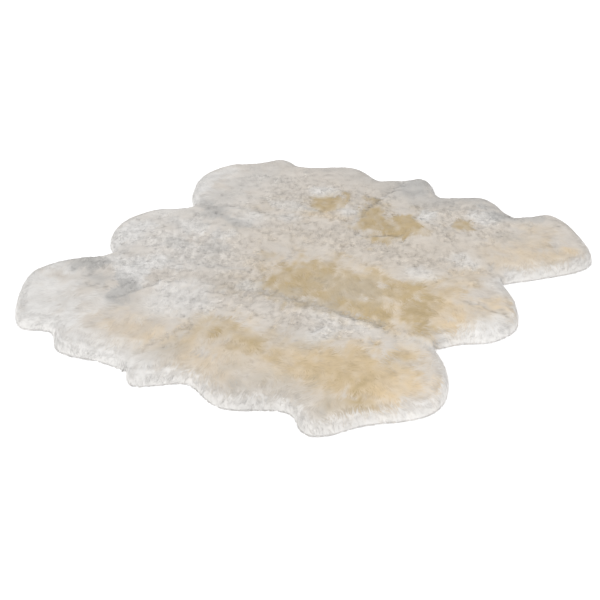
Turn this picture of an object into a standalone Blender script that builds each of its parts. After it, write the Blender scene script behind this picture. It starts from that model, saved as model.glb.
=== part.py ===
"""Sheepskin rug of six pelts, laid flat: three rows of two, sewn edge to edge.

Each pelt is one solid, the hide with its wool. Its underside is flat, and its outline is the reach of
the wool. The wool is full height over the middle of the pelt, rolls over to the floor along a free
edge, and dips into a shallow valley along a seam.

Metres, +Z up. The pelts' backbones run along X and the rows follow each other along Y. The origin is
on the floor, under the middle of the rug's box.
"""

from dataclasses import dataclass
from math import copysign, radians

import bmesh
import bpy
from mathutils import Vector
from mathutils.geometry import interpolate_bezier, intersect_point_line

OBJECT_NAME = "sheepskin_rug"

# Heights and widths of the wool.
PILE_HEIGHT = 0.056  # over the middle of a pelt
SEAM_HEIGHT = 0.043  # at the bottom of the valley along a seam
ROLL_WIDTH = 0.050  # how far the wool takes to roll over at a free edge
VALLEY_WIDTH = 0.045  # from the seam to the brow of its valley
CROWN_WIDTH = 0.120  # from the edge to where the wool has its full height
SEAM_GAP = 0.0003  # between two pelts
CORNER_RUN = 0.060  # along a free edge, from the end of a seam to the full roll
EDGE_STEP = 0.036  # between neighbouring points of the outline
SHARP_ANGLE = radians(40)

# The wool's shades, which change from pelt to pelt.
IVORY = (0.78, 0.74, 0.66, 1.0)
CREAM = (0.74, 0.66, 0.50, 1.0)
GREY_WHITE = (0.72, 0.71, 0.69, 1.0)
WOOL_ROUGHNESS = 0.9


@dataclass(frozen=True)
class Mark:
    """A named place on the rug, seen from above, such as a crest or dip of a pelt's outline."""

    name: str
    x: float
    y: float

    def point(self) -> Vector:
        return Vector((self.x, self.y, 0.0))


@dataclass(frozen=True)
class Ring:
    """One level of a pelt's wool, on a free edge and on a seam.

    The insets are measured from the outline towards the backbone.
    """

    name: str
    free_inset: float
    free_height: float
    seam_inset: float
    seam_height: float


@dataclass(frozen=True)
class Pelt:
    """One pelt, whose outline runs anticlockwise from above: along its seams, then its free edge.

    The backbone runs inside the pelt, from near the centre seam to near the tip.
    """

    name: str
    colour: tuple[float, float, float, float]
    backbone: tuple[Mark, Mark]
    seams: tuple[str, ...]
    free_edge: tuple[Mark, ...]


# Where the seams meet each other or reach the outline.
SEAM_CORNERS = {
    mark.name: mark
    for mark in (
        Mark("centre_back", -0.070, 0.930),
        Mark("centre_front", -0.170, -0.955),
        Mark("back_row_left", -0.730, 0.195),
        Mark("back_row_centre", -0.090, 0.215),
        Mark("back_row_right", 0.670, 0.275),
        Mark("front_row_left", -0.730, -0.335),
        Mark("front_row_centre", -0.110, -0.330),
        Mark("front_row_right", 0.650, -0.295),
    )
}

# From the underside up. A free edge rolls over, and a seam is upright as far as its valley.
RINGS = (
    Ring("underside", 0.24 * ROLL_WIDTH, 0.0, 0.0, 0.0),
    Ring("widest reach", 0.0, 0.25 * PILE_HEIGHT, 0.0, 0.35 * SEAM_HEIGHT),
    Ring("side", 0.14 * ROLL_WIDTH, 0.58 * PILE_HEIGHT, 0.0, 0.72 * SEAM_HEIGHT),
    Ring("shoulder", 0.46 * ROLL_WIDTH, 0.82 * PILE_HEIGHT, 0.0, SEAM_HEIGHT),
    Ring("brow", ROLL_WIDTH, 0.95 * PILE_HEIGHT, VALLEY_WIDTH, 0.92 * PILE_HEIGHT),
    Ring("crown", CROWN_WIDTH, PILE_HEIGHT, CROWN_WIDTH, PILE_HEIGHT),
)

PELTS = (
    Pelt(
        "back_right_pelt",
        colour=IVORY,
        backbone=(Mark("rump", 0.10, 0.57), Mark("neck", 0.66, 0.57)),
        seams=("centre_back", "back_row_centre", "back_row_right"),
        free_edge=(
            Mark("neck_flank", 0.790, 0.395),
            Mark("neck_tip", 0.925, 0.600),
            Mark("neck_corner", 0.855, 0.765),
            Mark("shoulder_crest", 0.650, 0.940),
            Mark("shoulder_dip", 0.515, 0.840),
            Mark("belly_crest", 0.330, 0.960),
            Mark("belly_dip", 0.160, 0.865),
            Mark("haunch_flank", 0.080, 0.950),
            Mark("haunch_crest", -0.015, 1.020),
        ),
    ),
    Pelt(
        "back_left_pelt",
        colour=GREY_WHITE,
        backbone=(Mark("rump", -0.40, 0.56), Mark("neck", -0.62, 0.56)),
        seams=("back_row_left", "back_row_centre", "centre_back"),
        free_edge=(
            Mark("haunch_dip", -0.160, 0.890),
            Mark("haunch_crest", -0.335, 0.970),
            Mark("belly_dip", -0.560, 0.850),
            Mark("shoulder_crest", -0.690, 0.885),
            Mark("shoulder_step", -0.800, 0.760),
            Mark("neck_corner", -0.890, 0.690),
            Mark("neck_tip", -0.925, 0.520),
            Mark("neck_flank", -0.860, 0.345),
        ),
    ),
    Pelt(
        "middle_left_pelt",
        colour=GREY_WHITE,
        backbone=(Mark("rump", -0.38, -0.07), Mark("neck", -0.66, -0.07)),
        seams=("front_row_left", "front_row_centre", "back_row_centre", "back_row_left"),
        free_edge=(
            Mark("neck_back", -0.870, 0.085),
            Mark("neck_tip", -0.920, -0.080),
            Mark("neck_front", -0.850, -0.245),
        ),
    ),
    Pelt(
        "middle_right_pelt",
        colour=CREAM,
        backbone=(Mark("rump", 0.10, -0.04), Mark("neck", 0.60, -0.04)),
        seams=("back_row_right", "back_row_centre", "front_row_centre", "front_row_right"),
        free_edge=(
            Mark("neck_flank", 0.740, -0.200),
            Mark("neck_dip", 0.800, -0.160),
            Mark("neck_front", 0.835, -0.105),
            Mark("neck_tip", 0.855, -0.010),
            Mark("neck_back", 0.790, 0.145),
        ),
    ),
    Pelt(
        "front_left_pelt",
        colour=GREY_WHITE,
        backbone=(Mark("rump", -0.42, -0.65), Mark("neck", -0.64, -0.65)),
        seams=("centre_front", "front_row_centre", "front_row_left"),
        free_edge=(
            Mark("neck_back", -0.860, -0.460),
            Mark("neck_tip", -0.925, -0.600),
            Mark("neck_front", -0.870, -0.745),
            Mark("shoulder_crest", -0.690, -0.935),
            Mark("shoulder_dip", -0.570, -0.900),
            Mark("belly_crest", -0.455, -0.985),
            Mark("belly_end", -0.285, -0.960),
        ),
    ),
    Pelt(
        "front_right_pelt",
        colour=CREAM,
        backbone=(Mark("rump", 0.10, -0.62), Mark("neck", 0.58, -0.62)),
        seams=("front_row_right", "front_row_centre", "centre_front"),
        free_edge=(
            Mark("rump_crest", -0.110, -1.020),
            Mark("rump_end", -0.030, -0.965),
            Mark("rump_dip", 0.050, -0.915),
            Mark("belly_crest", 0.220, -0.970),
            Mark("belly_dip", 0.420, -0.880),
            Mark("shoulder_crest", 0.540, -0.950),
            Mark("shoulder_flank", 0.660, -0.815),
            Mark("neck_front", 0.800, -0.680),
            Mark("neck_tip", 0.825, -0.570),
            Mark("neck_back", 0.760, -0.405),
        ),
    ),
)


def moved_in(corner: Mark, pelt: Pelt) -> Vector:
    """A seam's corner, moved towards the pelt's middle by half of the gap between two pelts."""
    middle = (pelt.backbone[0].point() + pelt.backbone[1].point()) / 2
    half = SEAM_GAP / 2
    return corner.point() + Vector(
        (copysign(half, middle.x - corner.x), copysign(half, middle.y - corner.y), 0.0)
    )


def straight_run(corners: list[Vector]) -> list[Vector]:
    """Points about EDGE_STEP apart on straight lines between the corners."""
    run = []
    for start, end in zip(corners, corners[1:]):
        count = max(1, round((end - start).length / EDGE_STEP))
        run += [start.lerp(end, step / count) for step in range(count)]
    return [*run, corners[-1]]


def smooth_run(marks: list[Vector]) -> list[Vector]:
    """Points about EDGE_STEP apart on a smooth curve through the marks."""
    ends = [2 * marks[0] - marks[1], *marks, 2 * marks[-1] - marks[-2]]
    run = []
    for before, start, end, after in zip(ends, ends[1:], ends[2:], ends[3:]):
        reach = (end - start).length
        pull_out = (end - before).normalized() * reach / 3
        pull_in = (after - start).normalized() * reach / 3
        count = max(1, round(reach / EDGE_STEP))
        run += interpolate_bezier(start, start + pull_out, end - pull_in, end, count + 1)[:-1]
    return [*run, marks[-1]]


def free_shares(run: list[Vector]) -> list[float]:
    """How far each point of a free edge has left the upright seam for the full roll, from 0 to 1."""
    travelled = [0.0]
    for start, end in zip(run, run[1:]):
        travelled.append(travelled[-1] + (end - start).length)
    return [
        min(1.0, place / CORNER_RUN, (travelled[-1] - place) / CORNER_RUN) for place in travelled
    ]


def outline(pelt: Pelt) -> list[tuple[Vector, float]]:
    """The pelt's outline, anticlockwise from above: each point, with its share of a free edge."""
    corners = [moved_in(SEAM_CORNERS[name], pelt) for name in pelt.seams]
    seam = straight_run(corners)
    free = smooth_run([corners[-1], *(mark.point() for mark in pelt.free_edge), corners[0]])
    edge = [(point, 0.0) for point in seam]
    edge += list(zip(free, free_shares(free)))[1:-1]
    return edge


def raised(point: Vector, share: float, ring: Ring, pelt: Pelt) -> Vector:
    """Where a point of the outline lies on one ring: drawn in towards the backbone, and lifted."""
    start, end = (mark.point() for mark in pelt.backbone)
    nearest, along = intersect_point_line(point, start, end)
    nearest = start if along < 0 else end if along > 1 else nearest
    inset = ring.seam_inset + share * (ring.free_inset - ring.seam_inset)
    height = ring.seam_height + share * (ring.free_height - ring.seam_height)
    return point + (nearest - point).normalized() * inset + Vector((0.0, 0.0, height))


def pelt_mesh(pelt: Pelt) -> bpy.types.Mesh:
    """A closed mesh, lofted ring by ring from the flat underside to the flat crown."""
    edge = outline(pelt)
    model = bmesh.new()
    rings = [
        [model.verts.new(raised(point, share, ring, pelt)) for point, share in edge]
        for ring in RINGS
    ]
    model.faces.new(reversed(rings[0]))
    model.faces.new(rings[-1])
    for low, high in zip(rings, rings[1:]):
        for index in range(len(edge)):
            after = (index + 1) % len(edge)
            model.faces.new((low[index], low[after], high[after], high[index]))
    mesh = bpy.data.meshes.new(pelt.name)
    model.to_mesh(mesh)
    model.free()
    mesh.shade_smooth()
    mesh.set_sharp_from_angle(angle=SHARP_ANGLE)
    return mesh


def wool_material(pelt: Pelt) -> bpy.types.Material:
    """Matt wool in the pelt's own shade."""
    material = bpy.data.materials.new(f"{pelt.name}_wool")
    material.use_nodes = True
    shader = material.node_tree.nodes["Principled BSDF"]
    shader.inputs["Base Color"].default_value = pelt.colour
    shader.inputs["Roughness"].default_value = WOOL_ROUGHNESS
    shader.inputs["Metallic"].default_value = 0.0
    return material


def main() -> None:
    """Clears the scene and builds the six pelts in the rug's own collection."""
    for old in list(bpy.data.objects):
        bpy.data.objects.remove(old, do_unlink=True)
    collection = bpy.data.collections.new(OBJECT_NAME)
    bpy.context.scene.collection.children.link(collection)
    for pelt in PELTS:
        mesh = pelt_mesh(pelt)
        mesh.materials.append(wool_material(pelt))
        collection.objects.link(bpy.data.objects.new(pelt.name, mesh))


main()
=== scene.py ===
"""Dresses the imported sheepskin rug: six hides sewn edge to edge, their wool, a floor and soft light.

Metres, +Z up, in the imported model's own frame. The pelts' backbones run along X, and the three rows
of pelts follow each other along Y. The wool is made in two layers: a fleece, which is the closed mass
of wool near the hide, and on it the locks, tens of thousands of small tapered ribbons that are combed
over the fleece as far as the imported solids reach.
"""

import logging
from collections.abc import Callable
from dataclasses import dataclass, field, fields
from enum import Enum
from functools import cache, partial
from math import cos, pi, radians, sin, sqrt, tau
from typing import ClassVar

import bmesh
import bpy
import numpy as np
from bmesh.types import BMEdge, BMFace, BMVert, BMesh
from bpy.types import ID, Light, Material, Mesh, Node, NodeOutputs, NodeSocket, NodeTree, Object
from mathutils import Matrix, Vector
from mathutils.kdtree import KDTree


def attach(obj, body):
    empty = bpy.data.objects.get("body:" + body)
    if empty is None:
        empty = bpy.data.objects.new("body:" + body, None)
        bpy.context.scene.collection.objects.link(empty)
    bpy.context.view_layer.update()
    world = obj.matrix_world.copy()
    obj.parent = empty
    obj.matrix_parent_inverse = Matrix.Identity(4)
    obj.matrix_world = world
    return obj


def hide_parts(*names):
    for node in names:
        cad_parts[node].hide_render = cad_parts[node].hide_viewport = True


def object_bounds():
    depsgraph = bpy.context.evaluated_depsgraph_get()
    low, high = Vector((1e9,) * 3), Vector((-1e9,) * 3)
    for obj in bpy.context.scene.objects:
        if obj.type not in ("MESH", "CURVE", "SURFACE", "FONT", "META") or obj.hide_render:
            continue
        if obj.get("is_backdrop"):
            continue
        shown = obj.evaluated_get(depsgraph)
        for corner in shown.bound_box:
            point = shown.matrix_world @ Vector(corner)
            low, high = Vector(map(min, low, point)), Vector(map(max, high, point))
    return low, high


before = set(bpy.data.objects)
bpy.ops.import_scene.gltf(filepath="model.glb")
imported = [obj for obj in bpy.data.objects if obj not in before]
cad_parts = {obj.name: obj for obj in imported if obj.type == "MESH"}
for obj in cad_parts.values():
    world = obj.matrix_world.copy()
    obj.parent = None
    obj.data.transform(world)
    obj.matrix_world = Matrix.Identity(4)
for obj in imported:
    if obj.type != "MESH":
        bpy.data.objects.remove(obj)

LOG = logging.getLogger("sheepskin_rug")
ROOT_BODY = "root"
SEED = 20
SOLID_WELD = 0.00002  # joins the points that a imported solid's facets share
HAIR = 0.0001  # a step too small to see

Array = np.ndarray
Colour = tuple[float, float, float]
Range = tuple[float, float]  # a value's two ends


# ---- where the coat changes


class Coat(Enum):
    """What a patch of the coat shows more of than the wool round it."""

    TAN = "tan"  # combed flat, so that the tan wool near the hide shows
    WARM = "warm"  # cream instead of neutral white
    GREY = "grey"  # grey-white strands, and painted shade in creases and on slopes that face away from the light
    PALE = "pale"  # bright, clean white, also painted light round the rim, its edge and its foot
    CURLY = "curly"  # short, standing, curly wool


# The coats that are tones, and how much of each is kept at the rim.
TONES = {Coat.TAN: 0.1, Coat.WARM: 0.85, Coat.GREY: 0.6, Coat.PALE: 1.0}


@dataclass(frozen=True)
class Patch:
    """A soft-edged oval of the coat, seen from above, with its strength and its turn in degrees."""

    x: float
    y: float
    half_x: float
    half_y: float
    strength: float
    softness: float = 0.5
    turn: float = 0.0
    inward: ClassVar[float] = 1.2  # how much further in than out its edge is soft

    def share(self, places: Array, ragged: Array) -> Array:
        """How much of the patch each place has.

        Args:
            places: One (x, y) in each row.
            ragged: How far the patch's edge is pushed in or out at each place, as a share of its size.

        Returns:
            A share from 0 to the patch's strength for each place.
        """
        x, y = seen_turned(places - np.array((self.x, self.y)), self.turn)
        reach = np.hypot(x / self.half_x, y / self.half_y) + ragged
        return self.strength * smooth_step(reach, 1.0 + self.softness, 1.0 - self.inward * self.softness)


@dataclass(frozen=True)
class Fold:
    """A line along which the coat sinks in and its wool falls away on both sides, or swells up.

    depth is how far it sinks, and is negative where it swells.
    """

    x: float
    y: float
    end_x: float
    end_y: float
    half_width: float
    depth: float

    def side(self, places: Array) -> tuple[Array, Array]:
        """Where each place lies beside the fold.

        Args:
            places: One (x, y) in each row.

        Returns:
            A unit vector away from the line for each place, and a weight from 0 to 1.
        """
        start = np.array((self.x, self.y))
        run = np.array((self.end_x, self.end_y)) - start
        share = np.clip((places - start) @ run / (run @ run), 0.0, 1.0)
        away = places - (start + share[:, None] * run)
        distance = np.linalg.norm(away, axis=1)
        return away / np.maximum(distance, 1e-6)[:, None], bell(distance, self.half_width)


# The coat's patches: x, y, half_x, half_y, strength, and softness and turn where they aren't the usual.
PATCH_ROWS = {
    Coat.TAN: (
        # Mostly the back row.
        (-0.235, 0.52, 0.072, 0.095, 1.0, 0.32), (-0.02, 0.6, 0.09, 0.05, 0.3, 0.6),
        (0.19, 0.49, 0.05, 0.05, 0.8, 0.4), (0.1, 0.31, 0.05, 0.04, 0.6),
        (-0.03, 0.52, 0.13, 0.05, 0.9, 0.32, -61), (0.14, 0.455, 0.16, 0.055, 1.0, 0.32, -83),
        (0.05, 0.42, 0.09, 0.08, 0.75, 0.32), (0.38, 0.6, 0.055, 0.065, 0.9, 0.32),
        (-0.43, 0.38, 0.07, 0.08, 0.16, 0.6), (0.13, 0.32, 0.05, 0.04, 0.6),
        (0.24, 0.45, 0.045, 0.045, 0.45), (-0.49, 0.3, 0.055, 0.035, 0.15, 0.6, 31),
        # Mostly the middle row.
        (0.09, -0.3, 0.16, 0.05, 0.75), (0.2, -0.05, 0.11, 0.065, 0.6),
        (0.04, -0.15, 0.125, 0.165, 0.8, 0.32), (0.24, -0.13, 0.19, 0.11, 0.8, 0.32),
        (0.4, -0.25, 0.065, 0.06, 0.9, 0.32), (0.42, -0.05, 0.1, 0.09, 0.65, 0.32),
        (0.51, -0.135, 0.15, 0.065, 0.95, 0.32, -64), (0.6, -0.25, 0.06, 0.05, 0.45),
        (0.37, -0.28, 0.13, 0.06, 0.35, 0.6), (0.01, -0.3, 0.05, 0.04, 0.45, 0.6),
        (0.5, 0.09, 0.07, 0.05, 0.25, 0.6), (0.52, -0.11, 0.09, 0.06, 0.3, 0.6),
        (0.28, -0.21, 0.13, 0.07, 0.6), (0.2, -0.18, 0.12, 0.085, 0.8),
        (-0.18, -0.06, 0.04, 0.045, 0.4, 0.6), (0.0, 0.39, 0.05, 0.05, 0.5),
        (0.5, 0.01, 0.07, 0.045, 0.35, 0.6),
        # Mostly the front row.
        (0.6, -0.8, 0.08, 0.055, 0.7), (0.6, -0.5, 0.065, 0.06, 0.45),
        (0.06, -0.63, 0.16, 0.06, 0.5, 0.5, -10), (0.12, -0.645, 0.05, 0.04, 0.4),
        (-0.025, -0.6, 0.05, 0.035, 0.4), (0.47, -0.6, 0.15, 0.12, 0.42, 0.7),
        (0.62, -0.74, 0.09, 0.04, 0.35, 0.5, -60), (-0.1, -0.73, 0.05, 0.16, 0.22, 0.6),
        (0.33, -0.53, 0.08, 0.045, 0.3, 0.6), (0.5, -0.72, 0.08, 0.05, 0.3, 0.6),
        (0.28, -0.8, 0.12, 0.05, 0.25, 0.6), (0.28, -0.69, 0.08, 0.045, 0.25, 0.6),
        (0.34, -0.75, 0.08, 0.045, 0.3, 0.6), (-0.057, -0.68, 0.05, 0.04, 0.35, 0.6),
    ),
    Coat.WARM: (
        (0.48, -0.62, 0.21, 0.16, 0.85, 0.6), (0.3, -0.72, 0.52, 0.19, 0.42),
        (0.66, -0.62, 0.11, 0.14, 0.45, 0.6), (0.54, -0.12, 0.2, 0.19, 0.6, 0.6),
        (0.15, -0.13, 0.32, 0.18, 0.35, 0.6), (0.65, 0.52, 0.1, 0.22, 0.32, 0.6),
        (0.8, 0.5, 0.085, 0.12, 0.5, 0.6), (0.57, 0.18, 0.08, 0.09, 0.32, 0.6),
        (-0.25, -0.78, 0.19, 0.11, 0.34, 0.6), (0.02, -0.86, 0.2, 0.09, 0.3, 0.6),
        (-0.18, -0.36, 0.08, 0.08, 0.32, 0.6), (0.25, 0.2, 0.72, 0.62, 0.12, 0.6),
        (0.7, -0.2, 0.08, 0.08, 0.65, 0.6), (0.8, 0.0, 0.06, 0.07, 0.6, 0.6),
        (0.8, 0.39, 0.07, 0.07, 0.45, 0.6), (0.6, -0.42, 0.06, 0.06, 0.6, 0.6),
        (-0.24, 0.4, 0.11, 0.07, 0.35, 0.6),
    ),
    Coat.GREY: (
        # Partly grey-white wool, partly painted shade where the coat slopes away from the light, as at its
        # back edge.
        (0.3, 0.9, 0.09, 0.06, 0.65), (0.35, -0.82, 0.23, 0.07, 0.45), (0.38, -0.92, 0.17, 0.06, 0.6),
        (0.09, -0.3, 0.15, 0.05, 0.3), (-0.62, 0.18, 0.11, 0.06, 0.7, 0.5, -20),
        (-0.5, 0.135, 0.07, 0.035, 0.45, 0.5, -20), (-0.76, -0.48, 0.09, 0.06, 0.9),
        (-0.48, -0.605, 0.09, 0.05, 0.9, 0.5, -70), (-0.63, -0.56, 0.06, 0.05, 0.6),
        (0.03, 0.92, 0.07, 0.1, 0.85), (0.13, 0.76, 0.14, 0.09, 0.55), (0.52, 0.79, 0.08, 0.06, 0.5),
        (0.05, 0.88, 0.6, 0.11, 0.42), (-0.65, 0.5, 0.09, 0.3, 0.32, 0.6), (-0.2, -0.35, 0.09, 0.06, 0.35),
        (0.24, -0.13, 0.15, 0.09, 0.3), (0.0, 0.8, 0.08, 0.12, 0.35), (0.25, -0.55, 0.1, 0.07, 0.3),
        (-0.4, -0.11, 0.06, 0.05, 0.4), (-0.09, -0.85, 0.06, 0.07, 0.4), (0.58, 0.6, 0.06, 0.06, 0.4),
        (0.43, 0.86, 0.07, 0.06, 0.8), (-0.02, 0.93, 0.06, 0.06, 0.9), (0.6, 0.83, 0.06, 0.05, 0.7),
        (0.5, 0.79, 0.05, 0.05, 0.5), (-0.55, -0.155, 0.055, 0.045, 0.5), (-0.45, 0.14, 0.06, 0.05, 0.45),
    ),
    Coat.PALE: (
        # Partly clean white wool, partly painted light on places that catch more light, such as the left
        # tips and the rim.
        (-0.74, -0.05, 0.27, 0.8, 0.42, 0.6), (-0.57, -0.36, 0.15, 0.07, 0.8, 0.5, 20),
        (-0.55, 0.0, 0.15, 0.06, 0.65), (-0.45, 0.2, 0.11, 0.055, 0.6), (-0.35, 0.4, 0.09, 0.06, 0.6),
        (-0.31, 0.61, 0.06, 0.06, 0.7), (-0.82, 0.22, 0.08, 0.2, 0.6), (-0.5, -0.49, 0.05, 0.05, 0.5),
        (0.2, 0.61, 0.05, 0.05, 0.8), (0.3, -0.48, 0.055, 0.07, 0.7), (0.4, 0.11, 0.065, 0.055, 0.65),
        (0.51, 0.3, 0.065, 0.055, 0.6), (0.7, 0.2, 0.065, 0.065, 0.6), (-0.35, -0.99, 0.42, 0.06, 0.8),
        (-0.72, -0.76, 0.24, 0.12, 0.75, 0.5, -40), (-0.82, -0.62, 0.08, 0.1, 0.6),
        (-0.8, -0.19, 0.1, 0.12, 0.9), (0.8, -0.16, 0.08, 0.12, 0.85), (-0.27, -0.53, 0.12, 0.16, 0.75),
        (-0.3, -0.92, 0.32, 0.07, 0.6), (0.82, 0.4, 0.08, 0.08, 0.6), (-0.83, 0.42, 0.08, 0.17, 0.75),
        (0.42, 0.72, 0.07, 0.09, 0.75), (-0.45, -0.2, 0.22, 0.13, 0.4, 0.6),
        (0.33, -0.37, 0.15, 0.045, 0.45), (0.61, -0.36, 0.06, 0.05, 0.4), (-0.83, 0.29, 0.07, 0.08, 0.9),
        (-0.83, -0.21, 0.08, 0.08, 0.9), (-0.54, -0.46, 0.12, 0.07, 1.0, 0.5, -45),
        (-0.61, -0.88, 0.15, 0.08, 0.8), (-0.82, -0.8, 0.09, 0.08, 0.7), (-0.49, -0.7, 0.06, 0.05, 0.6),
        (-0.3, 0.3, 0.05, 0.05, 0.5), (-0.11, 0.49, 0.045, 0.045, 0.6), (-0.11, -0.31, 0.045, 0.045, 0.6),
        (0.72, 0.3, 0.06, 0.06, 0.6), (-0.76, 0.27, 0.05, 0.05, 0.7),
    ),
    Coat.CURLY: (
        # Along the row seams, and round the tan patches of the back row.
        (-0.25, 0.52, 0.36, 0.22, 0.8, 0.32), (0.36, 0.64, 0.19, 0.18, 0.8, 0.32),
        (0.1, 0.23, 0.56, 0.13, 0.65, 0.32), (-0.48, -0.13, 0.31, 0.2, 1.0, 0.32),
        (-0.12, -0.33, 0.15, 0.14, 0.8, 0.32), (0.19, -0.4, 0.29, 0.11, 0.85, 0.32),
        (-0.26, -0.53, 0.12, 0.14, 0.5, 0.32), (-0.56, -0.42, 0.22, 0.13, 0.9, 0.32),
    ),
}
PATCHES = {coat: tuple(Patch(*row) for row in rows) for coat, rows in PATCH_ROWS.items()}

# The folds: x and y of the start, x and y of the end, half_width, depth.
FOLD_ROWS = (
    # Partings and creases.
    (-0.045, 0.89, -0.066, 0.55, 0.014, 0.008), (-0.066, 0.55, -0.041, 0.36, 0.014, 0.0045),
    (-0.59, 0.265, -0.46, 0.284, 0.016, 0.006), (-0.44, 0.284, -0.3, 0.3, 0.016, 0.005),
    (-0.34, 0.44, -0.21, 0.408, 0.018, 0.006), (0.04, 0.3, 0.2, 0.375, 0.014, 0.0055),
    (0.16, 0.59, 0.32, 0.543, 0.016, 0.005), (0.603, 0.34, 0.655, 0.24, 0.014, 0.005),
    (0.66, 0.01, 0.8, 0.007, 0.016, 0.007), (-0.05, -0.307, 0.2, -0.298, 0.016, 0.0055),
    (0.3, -0.306, 0.46, -0.297, 0.018, 0.007), (0.237, -0.546, 0.152, -0.808, 0.03, 0.0018),
    (-0.49, -0.645, -0.425, -0.47, 0.018, 0.006), (-0.665, -0.625, -0.575, -0.59, 0.018, 0.0055),
    (-0.535, -0.254, -0.45, -0.295, 0.016, 0.0065), (-0.371, -0.259, -0.183, -0.198, 0.016, 0.0065),
    (-0.63, -0.41, -0.57, -0.322, 0.016, 0.005), (-0.225, -0.418, -0.145, -0.401, 0.018, 0.005),
    (-0.126, -0.674, -0.105, -0.818, 0.024, 0.0035), (0.51, 0.8, 0.61, 0.88, 0.014, 0.004),
    # Ridges.
    (-0.56, 0.232, -0.22, 0.24, 0.018, -0.003), (-0.47, -0.6, -0.33, -0.404, 0.02, -0.003),
    (-0.33, -0.404, -0.21, -0.38, 0.02, -0.0025), (-0.35, -0.15, -0.15, -0.19, 0.02, -0.003),
    (-0.6, -0.42, -0.53, -0.332, 0.02, -0.0025), (0.24, -0.345, 0.46, -0.34, 0.022, -0.003),
    (0.14, 0.6, 0.47, 0.78, 0.024, -0.002), (-0.09, -0.36, -0.176, -0.726, 0.022, -0.0025),
)
FOLDS = tuple(Fold(*row) for row in FOLD_ROWS)


# ---- small mathematics


def smooth_step(values: Array, none: float, full: float) -> Array:
    """0 where a value is at or past none, 1 where it is at or past full, and smooth between them."""
    share = np.clip((values - none) / (full - none), 0.0, 1.0)
    return share * share * (3.0 - 2.0 * share)


def bell(distance: Array, width: float) -> Array:
    """1 at distance 0, and smoothly less farther off, with about a third left at the width."""
    return np.exp(-((distance / width) ** 2))


def unit(vectors: Array) -> Array:
    """The vectors, one in each row, at length 1."""
    return vectors / np.maximum(np.linalg.norm(vectors, axis=-1, keepdims=True), 1e-9)


def turned(vectors: Array, angles: Array) -> Array:
    """Plane vectors, one in each row, each turned by its own angle."""
    c, s = np.cos(angles), np.sin(angles)
    return np.stack((vectors[:, 0] * c - vectors[:, 1] * s, vectors[:, 0] * s + vectors[:, 1] * c), 1)


def seen_turned(places: Array, degrees: float) -> tuple[Array, Array]:
    """The places' distances along and across a direction that many degrees from X."""
    c, s = cos(radians(degrees)), sin(radians(degrees))
    return places[:, 0] * c + places[:, 1] * s, places[:, 1] * c - places[:, 0] * s


@dataclass(frozen=True)
class Drift:
    """A smooth field that wanders over the rug round 0, with a spread of about its size.

    It is the sum of plane waves whose lengths are near wavelength, and stretch times that along one
    direction, turn degrees from X.
    """

    wavelength: float
    seed: int
    stretch: float = 1.0
    turn: float = 0.0
    size: float = 1.0
    waves: int = 40

    def at(self, places: Array) -> Array:
        """The field's value at each place.

        Args:
            places: One (x, y) or (x, y, z) in each row.

        Returns:
            A value for each place.
        """
        rng = np.random.default_rng(self.seed)
        heading = rng.uniform(0.0, tau, self.waves)
        pace = tau / self.wavelength * rng.uniform(0.45, 1.7, self.waves)
        phase = rng.uniform(0.0, tau, self.waves)
        total = np.zeros(len(places))
        x, y = seen_turned(places, self.turn)
        x = x / self.stretch
        for angle, rate, start in zip(heading, pace, phase):
            total += np.sin(rate * (x * cos(angle) + y * sin(angle)) + start)
        return self.size * (total / sqrt(self.waves / 2))


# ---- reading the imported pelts


def in_space(points: Array) -> list[list[float]]:
    """The points as lists of three numbers, with plane ones at height 0."""
    return np.pad(points, ((0, 0), (0, 3 - points.shape[1]))).tolist()


def tree_of(points: Array) -> KDTree:
    """A search tree of points in the plane or in space, which knows each of them by its row."""
    tree = KDTree(len(points))
    for index, point in enumerate(in_space(points)):
        tree.insert(point, index)
    tree.balance()
    return tree


def nearest_in(tree: KDTree, places: Array) -> tuple[Array, Array]:
    """How far each place is from the tree's nearest point, and that point's row."""
    found = [tree.find(place) for place in in_space(places)]
    return np.array([row[2] for row in found]), np.array([row[1] for row in found], int)


def welded(nodes: list[Object], within: float) -> BMesh:
    """One bmesh of some solids.

    Args:
        nodes: The solids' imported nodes.
        within: How near each other joined points lie.

    Returns:
        The bmesh.
    """
    model = bmesh.new()
    for node in nodes:
        model.from_mesh(node.data)
    bmesh.ops.remove_doubles(model, verts=model.verts, dist=within)
    return model


def loop_of(edges: list[BMEdge]) -> Array:
    """The points of a closed chain of edges, from above.

    Args:
        edges: The edges, in any order.

    Returns:
        The points (x, y), in order and anticlockwise.
    """
    joins: dict[BMVert, list[BMEdge]] = {}
    for edge in edges:
        for vert in edge.verts:
            joins.setdefault(vert, []).append(edge)
    edge, vert = edges[0], edges[0].verts[0]
    first, points = vert, []
    while True:
        points.append(vert.co.xy[:])
        vert = edge.other_vert(vert)
        if vert == first:
            break
        edge = next(other for other in joins[vert] if other != edge)
    loop = np.array(points)
    return loop if area_of(loop) > 0 else loop[::-1]


def area_of(loop: Array) -> float:
    """The area inside a closed plane loop, positive where it runs anticlockwise."""
    after = np.roll(loop, -1, axis=0)
    return float((loop[:, 0] * after[:, 1] - loop[:, 1] * after[:, 0]).sum() / 2)


def travel(line: Array) -> Array:
    """How far along a line each of its points is."""
    return np.concatenate(([0.0], np.cumsum(np.linalg.norm(np.diff(line, axis=0), axis=1))))


def points_at(line: Array, travelled: Array, places: Array) -> Array:
    """The plane line's points at places along it, from how far along it its own points are."""
    return np.stack([np.interp(places, travelled, line[:, axis]) for axis in (0, 1)], 1)


def evenly(loop: Array, step: float) -> Array:
    """The closed loop with its points about one step apart."""
    closed = np.vstack((loop, loop[:1]))
    travelled = travel(closed)
    count = round(travelled[-1] / step)
    return points_at(closed, travelled, np.arange(count) * travelled[-1] / count)


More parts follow.
